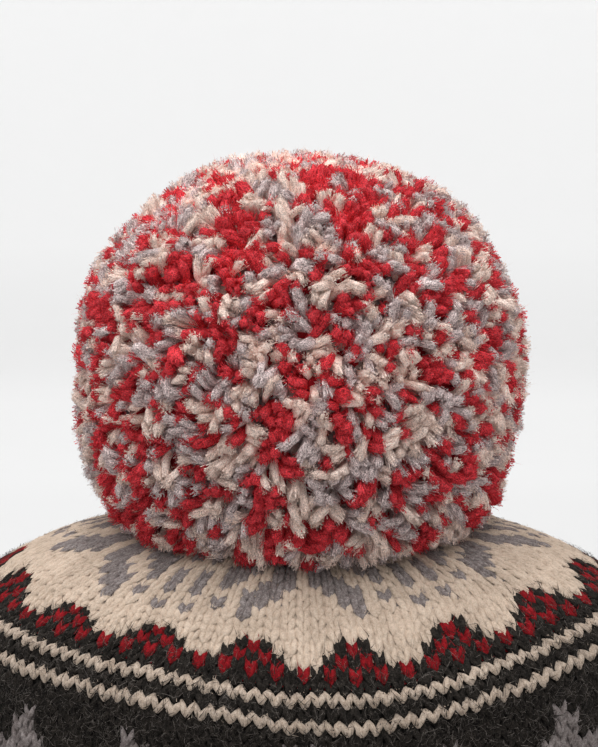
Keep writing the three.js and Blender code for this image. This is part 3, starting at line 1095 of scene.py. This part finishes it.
# The fabric shows deep between the stitches below some rows and full above: rows, and millimetres
FABRIC_ROWS = (1.5, 3.0)
FABRIC_LIFTS = (-0.45, 0.05)
# Rows of fabric under the lowest knitted one, and how far its edges stay inside the outer face's
ROWS_BELOW = 2
TOP_MARGIN = 1.0
LOW_MARGIN = 0.2


class TOQUE_OT_crown_fabric(bpy.types.Operator):
    """Make the fabric behind the stitches, with its purled inner face"""

    bl_idname = "toque.crown_fabric"
    bl_label = "Crown Fabric"

    def execute(self, context):
        shape = CapShape(context.scene.toque_cap)
        columns = shape.stitches
        rows = np.arange(LOWEST_ROW - ROWS_BELOW, int(shape.top_climb / shape.row) + 1)
        edges = np.r_[(rows - 0.5) * shape.row, shape.top_climb - TOP_MARGIN]
        edges = edges[edges > shape.low_climb + LOW_MARGIN]
        seam = np.arange(columns) / columns - 0.5 / columns
        lifts = np.interp(edges, np.array(FABRIC_ROWS) * shape.row, FABRIC_LIFTS)
        levels = [*zip(edges, lifts), *((edge, -WALL) for edge in edges[::-1])]
        points = np.concatenate(
            [shape.knitted(seam, np.full(columns, edge), np.full(columns, lift)) for edge, lift in levels]
        )
        colours = [self.colours(shape, edges, level) for level in range(len(levels))]
        piece = mesh_piece(
            "crown_fabric",
            points,
            [wall_faces(len(levels), columns)],
            wall_uv(len(levels), columns, shape.row),
            # The fabric's last wool is the deep wool, painted shade between the stitches
            [finish_materials()[f"wool_{name}"] for name in (*COLOURS, "deep")],
            np.concatenate(colours),
        )
        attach(piece, BODY)
        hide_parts("crown")
        return {"FINISHED"}

    @staticmethod
    def colours(shape, edges, level):
        """Colours round a level of the fabric: up the outer face, over the top and down inside."""
        top = len(edges) - 1
        if level > 2 * top:
            return np.full(shape.stitches, CHARCOAL)
        row = int(round((edges[min(level, 2 * top - level)] + shape.row / 2) / shape.row))
        count, shown = chart_row(row, shape.stitches)
        # Under the cream stripes the fabric is charcoal, like the rows round them, so dark shows between
        # the stripes' stitches
        if row in STRIPE_ROWS:
            shown = np.where(shown == CREAM, CHARCOAL, shown)
        # On the outer face the fabric's charcoal is the deep wool, a darker copy of the charcoal: painted
        # shade in the gaps between the stitches
        if level < top:
            shown = np.where(shown == CHARCOAL, len(COLOURS), shown)
        return shown[np.arange(shape.stitches) * count // shape.stitches]


class TOQUE_OT_stray_fibres(bpy.types.Operator):
    """Lay long pale fibres over the charcoal knitting"""

    bl_idname = "toque.stray_fibres"
    bl_label = "Stray Fibres"

    def execute(self, context):
        cap = context.scene.toque_cap
        shape = CapShape(cap)
        rng = np.random.default_rng(cap.seed + 9)
        levels = np.array(STRAY_LEVELS) * shape.row
        groups = zip(levels[:-1], levels[1:], STRAY_COUNTS)
        parts = [stray_fibres(shape, low, high, count, rng) for low, high, count in groups]
        points, faces, uv = joined(parts)
        piece = mesh_piece("stray_fibres", points, faces, uv, [finish_materials()["wool_stray"]])
        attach(piece, BODY)
        return {"FINISHED"}


BAND_THICKNESS = 4.0
# Columns of the fabric to a rib, and how steep the sides of its grooves are
RIB_COLUMNS = 8
RIB_SHARPNESS = 3.2
# Distance between the fabric's rings in yarn coordinates
BAND_RING_GAP = 4.0
# Knitted stitches to a rib: places of their columns from the rib's middle, in quarters of the rib
RIB_STITCHES = (-0.5, 0.5)
RIB_QUARTERS = 4
# Loose fibres to a stitch, their reach, and how high they lie in millimetres
BAND_FIBRES = (5, 1.0, 0.8)
# Height where the band's rows start, and how far under its upper edge they end
BAND_FIRST_ROW = 2.2
BAND_LAST_ROW = 1.5
BAND_CLIMB_SPREAD = 0.12
# How far its face stands out and swells, and its curl at the fold and the upper edge: (height, depth)
FACE_OUT = 3.4
FACE_SWELL = 0.5
FOLD_CURL = (5.0, 0.9)
EDGE_CURL = (4.0, 0.8)
MOST_EDGE_CURL = 1.2


def band_outline(height, groove):
    """Section of the folded band: (out from the cap's outer face, up from the floor)."""
    out = BAND_THICKNESS - groove
    return np.array(
        [
            (-0.2, JOIN_HEIGHT + 3.0),
            (-WALL, JOIN_HEIGHT + 3.0),
            (-WALL, 5.0),
            (-WALL + 0.5, 2.2),
            (-WALL + 1.6, 0.6),
            (-0.6, 0.05),
            (1.4, 0.05),
            (out - 1.0, 0.8),
            (out - 0.2, 3.0),
            (out, 6.0),
            (out + 0.3, 18.0),
            (out + 0.5, 30.0),
            (out + 0.3, 44.0),
            (out, height - 4.0),
            (out - 0.5, height - 1.2),
            (out - 1.4, height),
            (0.9, height - 0.4),
            (0.5, height - 3.0),
        ]
    )


class TOQUE_OT_ribbed_band(bpy.types.Operator):
    """Make the folded rib band, knit two, purl two"""

    bl_idname = "toque.ribbed_band"
    bl_label = "Ribbed Band"

    def execute(self, context):
        scene = context.scene
        shape = CapShape(scene.toque_cap)
        wool_charcoal = finish_materials()["wool_charcoal"]
        self.fabric(shape, scene.toque_band, wool_charcoal)
        self.stitches(shape, scene.toque_band, wool_charcoal, scene.toque_cap.seed + 5)
        return {"FINISHED"}

    @staticmethod
    def fabric(shape, band, material):
        """The band's own fabric, with grooves between its ribs."""
        columns = band.ribs * RIB_COLUMNS
        part = np.arange(columns) / columns
        wave = np.cos(2.0 * np.pi * part * band.ribs)
        groove = band.rib_depth / MM * (1.0 / (1.0 + np.exp(wave * RIB_SHARPNESS)))
        rim, out_way = shape.rim(part)
        loops = np.stack([band_outline(band.height / MM, depth) for depth in groove], 1)
        points = np.concatenate([rim + out_way * loops[:, :, :1], loops[:, :, 1:]], -1)
        rings = len(points)
        piece = mesh_piece(
            "band_fabric",
            points.reshape(-1, 3),
            [wall_faces(rings, columns)],
            wall_uv(rings, columns, BAND_RING_GAP),
            [material],
        )
        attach(piece, BODY)
        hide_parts("ribbed_band")

    @staticmethod
    def stitches(shape, band, material, seed):
        """The knit stitches along its ribs, with their loose fibres."""
        rng = np.random.default_rng(seed)
        height = band.height / MM
        rows = np.arange(BAND_FIRST_ROW, height - BAND_LAST_ROW, shape.row)
        quarters = band.ribs * RIB_QUARTERS
        column = np.arange(band.ribs)[:, None] * RIB_QUARTERS + np.array(RIB_STITCHES)[None, :]
        part = (column.ravel() / quarters)[None, :]
        part, climb = (a.ravel() for a in np.broadcast_arrays(part, rows[:, None]))
        climb = climb + rng.normal(0.0, BAND_CLIMB_SPREAD, len(climb))
        width = np.full(len(part), 1.0 / quarters)

        def raised(p, up, h):
            base, way = shape.rim(p)
            fold_height, fold_depth = FOLD_CURL
            edge_height, edge_depth = EDGE_CURL
            curl = fold_depth * part_way(up, fold_height, -fold_height) ** 2
            at_edge = np.clip((up - height + edge_height) / edge_height, 0.0, MOST_EDGE_CURL)
            curl = curl + edge_depth * at_edge**2
            swell = FACE_SWELL * np.sin(part_way(up, 0.0, height) * np.pi)
            flat_place = base + way * (FACE_OUT + swell + h - curl)[..., None]
            return np.concatenate([flat_place, np.clip(up, 0.25, height + 0.3)[..., None]], -1)

        arms = stitch_arms(WIDE_ARM, part, width, climb, shape.row, rng, raised)
        fibres = stitch_fibres((shape, part, width, climb), rng, BAND_FIBRES, raised)
        points, faces, uv = joined((arms, fibres))
        stitches = mesh_piece("band_stitches", points, faces, uv, [material])
        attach(stitches, BODY)


POMPOM_COLOURS = ("red", "cream", "grey")
POMPOM_SHARES = np.array([0.45, 0.31, 0.24])
# The pompom's form: how full it is above and below its middle, and its low waves: (height, how fast
# each runs along the axes)
UPPER_FULLNESS = 2.15
LOWER_FULLNESS = 2.8
LUMPS = ((0.6, (7.0, 3.0, 5.0)), (0.6, (-4.0, 8.0, 6.0)))
# Hollows in the ball: (way to it from the middle, width, depth)
HOLLOWS = (
    ((-0.55, -0.15, 0.82), 15.0, 2.6),
    ((-0.80, -0.20, 0.56), 14.0, 1.2),
)
# Where it sits on the crown: how far out the strands that end in the crown are left out, and the gap
# under the others
SEAT_REACH = 44.0
STRAND_GAP = 1.6
# The core: the gap under it, its depth under the outer form, its rings, and its yarn coordinates' scale
CORE_GAP = 0.6
CORE_DEPTH = 7.0
CORE_RINGS = 60
CORE_COLUMNS = 120
CORE_YARN = 0.4
# How clumps take their colours: the neighbours that count, and what each like one leaves of a chance
NEIGHBOURS = 7
ALIKE_SHARE = 0.62
# How the strands of each colour lie: girth beside the others, least lean, and spread of lean
STRAND_HABITS = np.array([(1.08, 0.25, 0.18), (0.92, 0.5, 0.26), (0.96, 0.45, 0.25)])
# Radians that strands bend over: the most for a clump, the spread in it, and the least and most of all
MOST_LEAN = 1.5
BEND_SPREAD = 0.18
BENDS = (0.05, 1.6)
# How much a strand leans its own way, beside its clump's
OWN_LEAN = 0.25
# How unevenly the clumps and the strands are spread over the ball
CLUMP_SCATTER = 0.03
STRAND_SCATTER = 0.014
# How deep the clumps and the strands' ends sink: shape and scale of their gamma draws, and the least
CLUMP_SINK = (1.3, 0.42)
END_SINK = (1.2, 0.4)
LEAST_SINK = 0.2
SHOWN_LENGTH = 10.0
LENGTH_SPREAD = 1.0
# A strand's root stands back by this share of the way that its end leans over
STAND_BACK = 0.55
# Rings of a strand's core: place along it, and its girth there
STRAND_RINGS = np.array([(0.0, 0.7), (0.55, 0.76), (0.85, 0.74), (1.0, 0.5)])
STRAND_SIDES = 4
# Spread of the girth between strands, and between the corners of one
STRAND_SPREAD = 0.14
SIDE_SPREAD = 0.15
# Unevenness of a cut end in millimetres (middle and spread), and how far its own middle stands out
CUT_SPREAD = (-0.2, 0.3)
CUT_DOME = 0.2
# Yarn coordinates of a strand, along it and round it, and the slant of its streaks
STRAND_YARN = 0.4
STRAND_TURN = 3.0
STRAND_SLANT = 0.09


def ball_directions(count):
    """Directions spread evenly over a ball."""
    index = np.arange(count) + 0.5
    up = 1.0 - 2.0 * index / count
    turn = index * np.pi * (3.0 - np.sqrt(5.0))
    reach = np.sqrt(1.0 - up * up)
    return np.stack([reach * np.cos(turn), reach * np.sin(turn), up], -1)


def pompom_reach(way, half):
    """Distance from the pompom's middle to its outer form, fuller below where it is pressed down."""
    across = np.hypot(way[..., 0] / half[0], way[..., 1] / half[1])
    up = np.abs(way[..., 2]) / half[2]
    fullness = np.where(way[..., 2] < 0.0, LOWER_FULLNESS, UPPER_FULLNESS)
    return (across**fullness + up**fullness) ** (-1.0 / fullness)


def mingled_tones(places, rng):
    """A colour number for each place, with neighbours less often alike than by chance."""
    near = np.argpartition(-(places @ places.T), NEIGHBOURS, axis=1)[:, :NEIGHBOURS]
    tone = np.full(len(places), -1)
    for index in rng.permutation(len(places)):
        alike = np.array([np.sum(tone[near[index]] == number) for number in range(len(POMPOM_SHARES))])
        chance = POMPOM_SHARES * ALIKE_SHARE**alike
        tone[index] = rng.choice(len(POMPOM_SHARES), p=chance / chance.sum())
    return tone


def square_to(vectors, forward):
    """The vectors turned square to the given directions, at length one."""
    return unit(vectors - forward * np.sum(vectors * forward, 1, keepdims=True))


def strand_paths(shape, pompom):
    """Paths of the pompom's strands, with the colour of each: neighbours lean and bend together."""
    rng = np.random.default_rng(pompom.seed)
    half = np.array(pompom.half_size) / MM
    clumps = pompom.clumps
    count = pompom.strands
    middle = unit(ball_directions(clumps) + rng.normal(0.0, CLUMP_SCATTER, (clumps, 3)))
    tone = mingled_tones(middle, rng)
    lean_way = random_units(rng, clumps)
    habit = STRAND_HABITS[tone]
    lean = np.minimum(habit[:, 1] + rng.gamma(2.0, 1.0, clumps) * habit[:, 2], MOST_LEAN)
    sink = rng.gamma(*CLUMP_SINK, clumps)
    way = unit(ball_directions(count) + rng.normal(0.0, STRAND_SCATTER, (count, 3)))
    pick = np.argmax(way @ middle.T, 1)
    bend = np.clip(lean[pick] + rng.normal(0.0, BEND_SPREAD, count), *BENDS)
    length = SHOWN_LENGTH + rng.uniform(-LENGTH_SPREAD, LENGTH_SPREAD, count)
    tangent = square_to(lean_way[pick] + OWN_LEAN * random_units(rng, count), way)
    lumps = sum(much * np.sin(way @ np.array(wave)) for much, wave in LUMPS)
    tip = pompom_reach(way, half) - LEAST_SINK - sink[pick] - rng.gamma(*END_SINK, count) + lumps
    for hollow, width, depth in HOLLOWS:
        gap = np.linalg.norm(way - unit(np.array(hollow)), axis=1) * half.mean()
        tip -= depth * np.exp(-((gap / width) ** 2))

    angle = bend[:, None] * STRAND_RINGS[:, 0][None, :]
    radial = length[:, None] * np.sin(angle) / bend[:, None]
    sideways = length[:, None] * (1.0 - np.cos(angle)) / bend[:, None]
    base = tip - radial.max(1)
    centre = np.array([0.0, 0.0, pompom.centre_height / MM])
    paths = centre + way[:, None, :] * (base[:, None] + radial)[..., None]
    paths = paths + tangent[:, None, :] * (sideways - STAND_BACK * sideways[:, -1:])[..., None]
    cover = shape.top_height(paths[..., 0], paths[..., 1]) + STRAND_GAP
    sunk = paths[:, -1, 2] < cover[:, -1]
    keep = ~(sunk & (np.hypot(paths[:, -1, 0], paths[:, -1, 1]) < SEAT_REACH))
    paths[..., 2] = np.maximum(paths[..., 2], cover)
    return paths[keep], tone[pick][keep], rng


def strand_mesh(paths, radius, rng):
    """Tubes along the paths, closed at their tips."""
    count, rings = paths.shape[:2]
    forward = unit(np.gradient(paths, axis=1))
    side = unit(np.cross(forward, random_units(rng, count)[:, None, :]))
    other = np.cross(forward, side)
    girth = STRAND_RINGS[:, 1][None, :, None, None]
    girth = radius * girth * rng.normal(1.0, STRAND_SPREAD, (count, 1, 1, 1))
    spoke = np.arange(STRAND_SIDES) / STRAND_SIDES * 2.0 * np.pi
    ring = side[:, :, None] * np.cos(spoke)[:, None] + other[:, :, None] * np.sin(spoke)[:, None]
    girth = girth * rng.normal(1.0, SIDE_SPREAD, (count, rings, STRAND_SIDES, 1))
    tube = paths[:, :, None, :] + ring * girth
    tube[:, -1] += forward[:, -1, None] * rng.normal(*CUT_SPREAD, (count, STRAND_SIDES, 1))
    ends = paths[:, -1] + forward[:, -1] * CUT_DOME * radius
    points = np.concatenate([tube.reshape(count, -1, 3), ends[:, None]], 1)
    size = points.shape[1]
    starts = np.arange(count)[:, None, None] * size
    quads = starts + sleeve_faces(1, rings, STRAND_SIDES, True)
    last = (rings - 1) * STRAND_SIDES + np.arange(STRAND_SIDES)
    caps = starts + np.stack([last, np.roll(last, -1), np.full(STRAND_SIDES, size - 1)], -1)

    length = np.linalg.norm(np.diff(paths, axis=1), axis=-1).sum(1)
    start = rng.uniform(0.0, YARN_START, (count, 1, 1))
    along = STRAND_RINGS[:, 0][None, :, None] * length[:, None, None] * STRAND_YARN + start
    around = np.arange(STRAND_SIDES)[None, None, :] / STRAND_SIDES * STRAND_TURN + start
    uv = np.stack(np.broadcast_arrays(along, around + STRAND_SLANT * along), -1)
    end_uv = np.stack([along[:, -1, 0] + 0.4, start[:, 0, 0] + 0.5], -1)[:, None]
    uv = np.concatenate([uv.reshape(count, -1, 2), end_uv], 1)
    return points.reshape(-1, 3), [quads.reshape(-1, 4), caps.reshape(-1, 3)], uv.reshape(-1, 2)


# Fibres of a strand: how many lie along it, over its cut end, and stand off it
SIDE_FIBRES = 46
END_FIBRES = 26
WISPS = 4
# Those along it: how far out they lie, as parts of its girth, and how much of that their roots have
SIDE_OUT = (0.7, 1.02)
SIDE_ROOT_DEPTH = 0.8
# First root and range of the roots along the strand, the fibres' lengths, as parts of it, how far out
# the tips stand beside the roots, and how far past the cut end in millimetres
SIDE_START = 0.32
SIDE_RANGE = 0.5
SIDE_LENGTHS = (0.14, 0.32)
SIDE_TIPS = (0.9, 1.35)
PAST_END = 0.35
ALONG_SPREAD = 0.2
TIP_SPREAD = 0.15
SIDE_WIDTHS = (0.09, 0.18)
# Those over the cut end: the part of its girth that they cover, its dome, and their lie and size
END_GIRTH = 0.8
END_DOME = 0.45
END_SPREAD = 0.12
END_LIFTS = (0.05, 0.5)
END_LEAN = 0.6
END_WIDTHS = (0.07, 0.13)
END_LENGTHS = (0.45, 0.95)
# Wisps: where along it and how far out they start, how they lean out, and their size in millimetres
WISP_STARTS = (0.8, 1.0)
WISP_GIRTH = 0.9
WISP_LEANS = (0.2, 3.0)
WISP_WIDTHS = (0.02, 0.035)
WISP_LENGTHS = (1.2, 3.2)
STRAND_FIBRE_UV = np.array([(0.0, 0.0), (0.0, 0.04), (1.0, 0.02)])


def picked(paths, per_strand, rng):
    """For some fibres to each strand: its number, its heading, and a way out from it."""
    pick = np.repeat(np.arange(len(paths)), per_strand)
    forward = unit(paths[:, -1] - paths[:, -2])[pick]
    return pick, forward, square_to(random_units(rng, len(pick)), forward)


def along_strand(paths, pick, level):
    """Points on the middle lines of the picked strands, at places from 0 to 1 along them."""
    rings = np.interp(level, STRAND_RINGS[:, 0], np.arange(len(STRAND_RINGS)))
    low = np.minimum(rings.astype(int), len(STRAND_RINGS) - 2)
    part = (rings - low)[:, None]
    return paths[pick, low] * (1.0 - part) + paths[pick, low + 1] * part


def pointed(root, heading, across, widths, lengths, rng):
    """Thin triangles that run from their roots to a point."""
    flat = unit(np.cross(heading, across)) * rng.uniform(*widths, len(root))[:, None]
    tip = root + heading * rng.uniform(*lengths, len(root))[:, None]
    return np.stack([root - flat, root + flat, tip], 1)


def side_fibres(paths, radius, rng):
    """Fibres along the sides of the strands, from a point to a broad tip."""
    pick, forward, around = picked(paths, SIDE_FIBRES, rng)
    count = len(pick)
    off = around * (radius * rng.uniform(*SIDE_OUT, count))[:, None]
    level = SIDE_START + SIDE_RANGE * np.sqrt(rng.uniform(0.0, 1.0, count))
    root = along_strand(paths, pick, level) + off * SIDE_ROOT_DEPTH
    level = level + rng.uniform(*SIDE_LENGTHS, count)
    tip = along_strand(paths, pick, np.minimum(level, 1.0))
    tip = tip + off * rng.uniform(*SIDE_TIPS, count)[:, None]
    beyond = np.clip((level - 1.0) * SHOWN_LENGTH, 0.0, PAST_END) + rng.normal(0.0, ALONG_SPREAD, count)
    tip += forward * beyond[:, None] + rng.normal(0.0, TIP_SPREAD, (count, 3))
    flat = unit(np.cross(tip - root, around)) * rng.uniform(*SIDE_WIDTHS, count)[:, None]
    return np.stack([root, tip + flat, tip - flat], 1)


def end_fibres(paths, radius, rng):
    """Fibres over the cut ends of the strands."""
    pick, forward, around = picked(paths, END_FIBRES, rng)
    count = len(pick)
    # Spread evenly over the end's face, and not crowded at its middle
    out = np.sqrt(rng.uniform(0.0, 1.0, count))[:, None]
    root = paths[pick, -1] + around * out * radius * END_GIRTH
    root += forward * (END_DOME * (1.0 - out * out) + rng.normal(0.0, END_SPREAD, (count, 1)))
    lift = rng.uniform(*END_LIFTS, (count, 1))
    turned = square_to(random_units(rng, count), forward)
    heading = unit(turned + around * out * END_LEAN + forward * lift)
    return pointed(root, heading, forward, END_WIDTHS, END_LENGTHS, rng)


def wisps(paths, radius, rng):
    """Fine fibres that stand off the strands."""
    pick, forward, around = picked(paths, WISPS, rng)
    count = len(pick)
    root = along_strand(paths, pick, rng.uniform(*WISP_STARTS, count)) + around * radius * WISP_GIRTH
    heading = unit(forward + around * rng.uniform(*WISP_LEANS, count)[:, None])
    return pointed(root, heading, around, WISP_WIDTHS, WISP_LENGTHS, rng)


def strand_fibres(paths, radius, rng):
    """The strands' own fibres, thin triangles: along the sides, over the cut ends, and fine wisps."""
    sets = [kind(paths, radius, rng) for kind in (side_fibres, end_fibres, wisps)]
    points = np.concatenate(sets)
    uv = rng.uniform(0.0, YARN_START, (len(points), 1, 2)) + STRAND_FIBRE_UV
    points = points.reshape(-1, 3)
    return points, [np.arange(len(points)).reshape(-1, 3)], uv.reshape(-1, 2)


class TOQUE_OT_pompom(bpy.types.Operator):
    """Make the pompom: a core and its cut strands in three colours"""

    bl_idname = "toque.pompom"
    bl_label = "Pompom"

    def execute(self, context):
        scene = context.scene
        shape = CapShape(scene.toque_cap)
        pompom = scene.toque_pompom
        materials = finish_materials()
        paths, tones, rng = strand_paths(shape, pompom)
        for tone, name in enumerate(POMPOM_COLOURS):
            mine = paths[tones == tone]
            radius = pompom.strand_radius / MM * STRAND_HABITS[tone, 0]
            for part, make in (("strands", strand_mesh), ("fibres", strand_fibres)):
                points, faces, uv = make(mine, radius, rng)
                wools = [materials[f"pompom_{name}"]]
                piece = mesh_piece(f"pompom_{name}_{part}", points, faces, uv, wools)
                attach(piece, BODY)
        self.core(shape, pompom, materials)
        return {"FINISHED"}

    @staticmethod
    def core(shape, pompom, materials):
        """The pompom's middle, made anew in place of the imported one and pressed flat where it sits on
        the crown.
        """
        up = np.linspace(0.0, np.pi, CORE_RINGS)[1:-1, None]
        turn = np.linspace(0.0, 2.0 * np.pi, CORE_COLUMNS, endpoint=False)[None, :]
        ball = np.stack(
            np.broadcast_arrays(np.sin(up) * np.cos(turn), np.sin(up) * np.sin(turn), np.cos(up)), -1
        )
        ways = np.concatenate([ball.reshape(-1, 3), [(0.0, 0.0, 1.0), (0.0, 0.0, -1.0)]])
        reach = pompom_reach(ways, np.array(pompom.half_size) / MM) - CORE_DEPTH
        points = ways * reach[:, None]
        points[:, 2] += pompom.centre_height / MM
        seat = shape.top_height(points[:, 0], points[:, 1]) + CORE_GAP
        points[:, 2] = np.maximum(points[:, 2], seat)
        quads = sleeve_faces(1, len(up), CORE_COLUMNS, True)[:, ::-1]
        first = np.arange(CORE_COLUMNS)
        last = (len(up) - 1) * CORE_COLUMNS + first
        top = np.full(CORE_COLUMNS, len(up) * CORE_COLUMNS)
        caps = np.concatenate(
            [
                np.stack([first, np.roll(first, -1), top], -1),
                np.stack([np.roll(last, -1), last, top + 1], -1),
            ]
        )
        uv = points[:, :2] * CORE_YARN
        piece = mesh_piece("pompom_core", points, [quads, caps], uv, [materials["pompom_core"]])
        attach(piece, BODY)
        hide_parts("pompom")


class TOQUE_OT_pompom_tie(bpy.types.Operator):
    """Finish the yarn tie that holds the pompom, and its knot inside the crown"""

    bl_idname = "toque.pompom_tie"
    bl_label = "Pompom Tie"

    def execute(self, context):
        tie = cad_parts["pompom_tie"]
        tie.data.materials.clear()
        tie.data.materials.append(finish_materials()["wool_charcoal"])
        return {"FINISHED"}


# The studio in metres: reach of the flat floor, reach of the sweep up from it, and top of the wall
FLOOR_FLAT = 1.6
FLOOR_SWEEP = 0.9
WALL_TOP = 2.2
HUB_REACH = 0.02
SWEEP_STEPS = 12
FLOOR_SIDES = 72
GRAIN_SCALE = 30.0
GRAIN_TONES = ((0.3, neutral(0.995)), (0.7, neutral(1.0)))
# How far the floor's colour has turned into the wall's: (height, share)
FLOOR_FADE = ((0.0, 0.0), (0.1, 0.36), (0.9, 1.0))
# Share of the backlight that shines at each distance behind the cap, in metres, out to the reach
GLOW_REACH = 2.5
GLOW_SHARES = ((0.1, 0.0), (0.6, 0.88), (0.85, 1.05), (0.95, 1.18), (1.33, 1.32), (1.9, 1.12))
LAMP_SIZE = (1.3, 1.1)
LAMP_PLACE = Vector((-0.15, -0.25, 1.35))
LAMP_AIM = Vector((0.0, 0.0, 0.15))
# The camera in degrees: how far it stands above the upper stripe as seen from there, and its own
# pitch down, turn to the right and roll; then how far to the side it stands, in metres
CAMERA_RISE = 13.974
CAMERA_TURNS = (7.593, 1.280, 0.192)
CAMERA_SIDEWAYS = -0.01302
CAMERA_LENS = 100.0
CAMERA_SENSOR = 36.0
NEAREST_SEEN = 0.01
WHITE = (1.0, 1.0, 1.0, 1.0)


class TOQUE_OT_stage(bpy.types.Operator):
    """Set the pale floor, the soft light and the camera"""

    bl_idname = "toque.stage"
    bl_label = "Stage"

    def execute(self, context):
        scene = context.scene
        stage = scene.toque_stage
        self.floor(stage)
        self.light(scene, stage)
        self.camera(scene, stage)
        scene.view_settings.view_transform = "Standard"
        return {"FINISHED"}

    @staticmethod
    def floor(stage):
        """A round floor that curves up into a wall all the way round."""
        bend = np.linspace(0.0, np.pi / 2, SWEEP_STEPS)
        curve = FLOOR_FLAT + FLOOR_SWEEP * np.sin(bend)
        reach = np.r_[HUB_REACH, FLOOR_FLAT * 0.4, curve, FLOOR_FLAT + FLOOR_SWEEP]
        height = np.r_[0.0, 0.0, FLOOR_SWEEP * (1.0 - np.cos(bend)), WALL_TOP]
        turn = np.linspace(0.0, 2.0 * np.pi, FLOOR_SIDES, endpoint=False)
        x = reach[:, None] * np.cos(turn) / MM
        y = reach[:, None] * np.sin(turn) / MM
        z = np.broadcast_to(height[:, None] / MM, x.shape)
        points = np.stack([x, y, z], -1).reshape(-1, 3)
        hub = np.arange(FLOOR_SIDES)[None, ::-1]
        faces = [sleeve_faces(1, len(reach), FLOOR_SIDES, True), hub]
        nodes = Nodes("studio_floor")
        place = nodes.object_place()
        parts = nodes.add("ShaderNodeSeparateXYZ", vector=place)
        low, high = tuple(stage.floor_colour), tuple(stage.wall_colour)
        tones = tuple((up, blend(low, high, share)) for up, share in FLOOR_FADE)
        tone = nodes.ramp(parts.outputs["Z"], tones)
        grain = nodes.ramp(nodes.noise(place, GRAIN_SCALE), GRAIN_TONES)
        away = nodes.calculated("MULTIPLY", parts.outputs["Y"], 1.0 / GLOW_REACH)
        shares = tuple((at / GLOW_REACH, neutral(part)) for at, part in GLOW_SHARES)
        glow = nodes.calculated("MULTIPLY", nodes.ramp(away, shares), stage.backlight)
        nodes.surface(
            {
                "Base Color": nodes.mixed("MULTIPLY", 1.0, tone, grain),
                "Roughness": 0.9,
                "Emission Color": WHITE,
                "Emission Strength": glow,
            }
        )
        mesh_piece("studio_floor", points, faces, None, [nodes.material])

    @staticmethod
    def light(scene, stage):
        """Even light from all round, and one wide lamp overhead, a little to the front."""
        world = bpy.data.worlds.new("studio_light")
        world.use_nodes = True
        background = world.node_tree.nodes["Background"]
        background.inputs["Color"].default_value = WHITE
        background.inputs["Strength"].default_value = stage.sky_strength
        scene.world = world
        lamp = bpy.data.lights.new("overhead_lamp", "AREA")
        lamp.shape = "RECTANGLE"
        lamp.size, lamp.size_y = LAMP_SIZE
        lamp.energy = stage.lamp_power
        overhead = bpy.data.objects.new("overhead_lamp", lamp)
        overhead.location = LAMP_PLACE
        overhead.rotation_euler = (LAMP_AIM - LAMP_PLACE).to_track_quat("-Z", "Y").to_euler()
        scene.collection.objects.link(overhead)

    @staticmethod
    def camera(scene, stage):
        """The camera, at the photograph's angle, slightly turned and rolled."""
        rise = np.radians(CAMERA_RISE)
        pitch, yaw, roll = np.radians(CAMERA_TURNS)
        data = bpy.data.cameras.new("photo_camera")
        data.sensor_width = CAMERA_SENSOR
        data.lens = CAMERA_LENS
        data.clip_start = NEAREST_SEEN
        camera = bpy.data.objects.new("photo_camera", data)
        ahead = Vector((np.sin(yaw) * np.cos(pitch), np.cos(yaw) * np.cos(pitch), -np.sin(pitch)))
        right = ahead.cross(Vector((0.0, 0.0, 1.0))).normalized()
        up = right.cross(ahead)
        tilted_right = right * np.cos(roll) + up * np.sin(roll)
        tilted_up = up * np.cos(roll) - right * np.sin(roll)
        turned = Matrix((tilted_right, tilted_up, -ahead)).transposed().to_4x4()
        distance = stage.camera_distance
        height = scene.toque_cap.stripe_height + distance * np.sin(rise)
        place = Vector((CAMERA_SIDEWAYS, -distance * np.cos(rise), height))
        camera.matrix_world = Matrix.Translation(place) @ turned
        scene.collection.objects.link(camera)
        scene.camera = camera


class TOQUE_PT_panel(bpy.types.Panel):
    """Lists the toque's settings and pieces"""

    bl_idname = "TOQUE_PT_panel"
    bl_label = "Knit Toque"
    bl_space_type = "VIEW_3D"
    bl_region_type = "UI"
    bl_category = "Toque"

    def draw(self, context):
        for group in SETTINGS:
            settings = getattr(context.scene, group)
            box = self.layout.box()
            for key in settings.__annotations__:
                box.prop(settings, key)
        for operator in OPERATORS:
            self.layout.operator(operator.bl_idname)


SETTINGS = {
    "toque_cap": ToqueCapSettings,
    "toque_band": ToqueBandSettings,
    "toque_pompom": ToquePompomSettings,
    "toque_stage": ToqueStageSettings,
}
OPERATORS = (
    TOQUE_OT_stage,
    TOQUE_OT_crown_fabric,
    TOQUE_OT_knit_crown,
    TOQUE_OT_knit_body,
    TOQUE_OT_stray_fibres,
    TOQUE_OT_ribbed_band,
    TOQUE_OT_pompom,
    TOQUE_OT_pompom_tie,
)


def register():
    """Makes the settings, the operators and the panel known to Blender."""
    for cls in (*SETTINGS.values(), *OPERATORS, TOQUE_PT_panel):
        bpy.utils.register_class(cls)
    for name, cls in SETTINGS.items():
        setattr(bpy.types.Scene, name, PointerProperty(type=cls))


def unregister():
    """Takes them away again."""
    for name in SETTINGS:
        delattr(bpy.types.Scene, name)
    for cls in (TOQUE_PT_panel, *reversed(OPERATORS), *SETTINGS.values()):
        bpy.utils.unregister_class(cls)


def main():
    """Makes the whole toque."""
    register()
    for operator in OPERATORS:
        group, name = operator.bl_idname.split(".")
        result = getattr(getattr(bpy.ops, group), name)()
        if result != {"FINISHED"}:
            raise RuntimeError(f"{operator.bl_label} didn't finish")


if __name__ == "__main__":
    main()
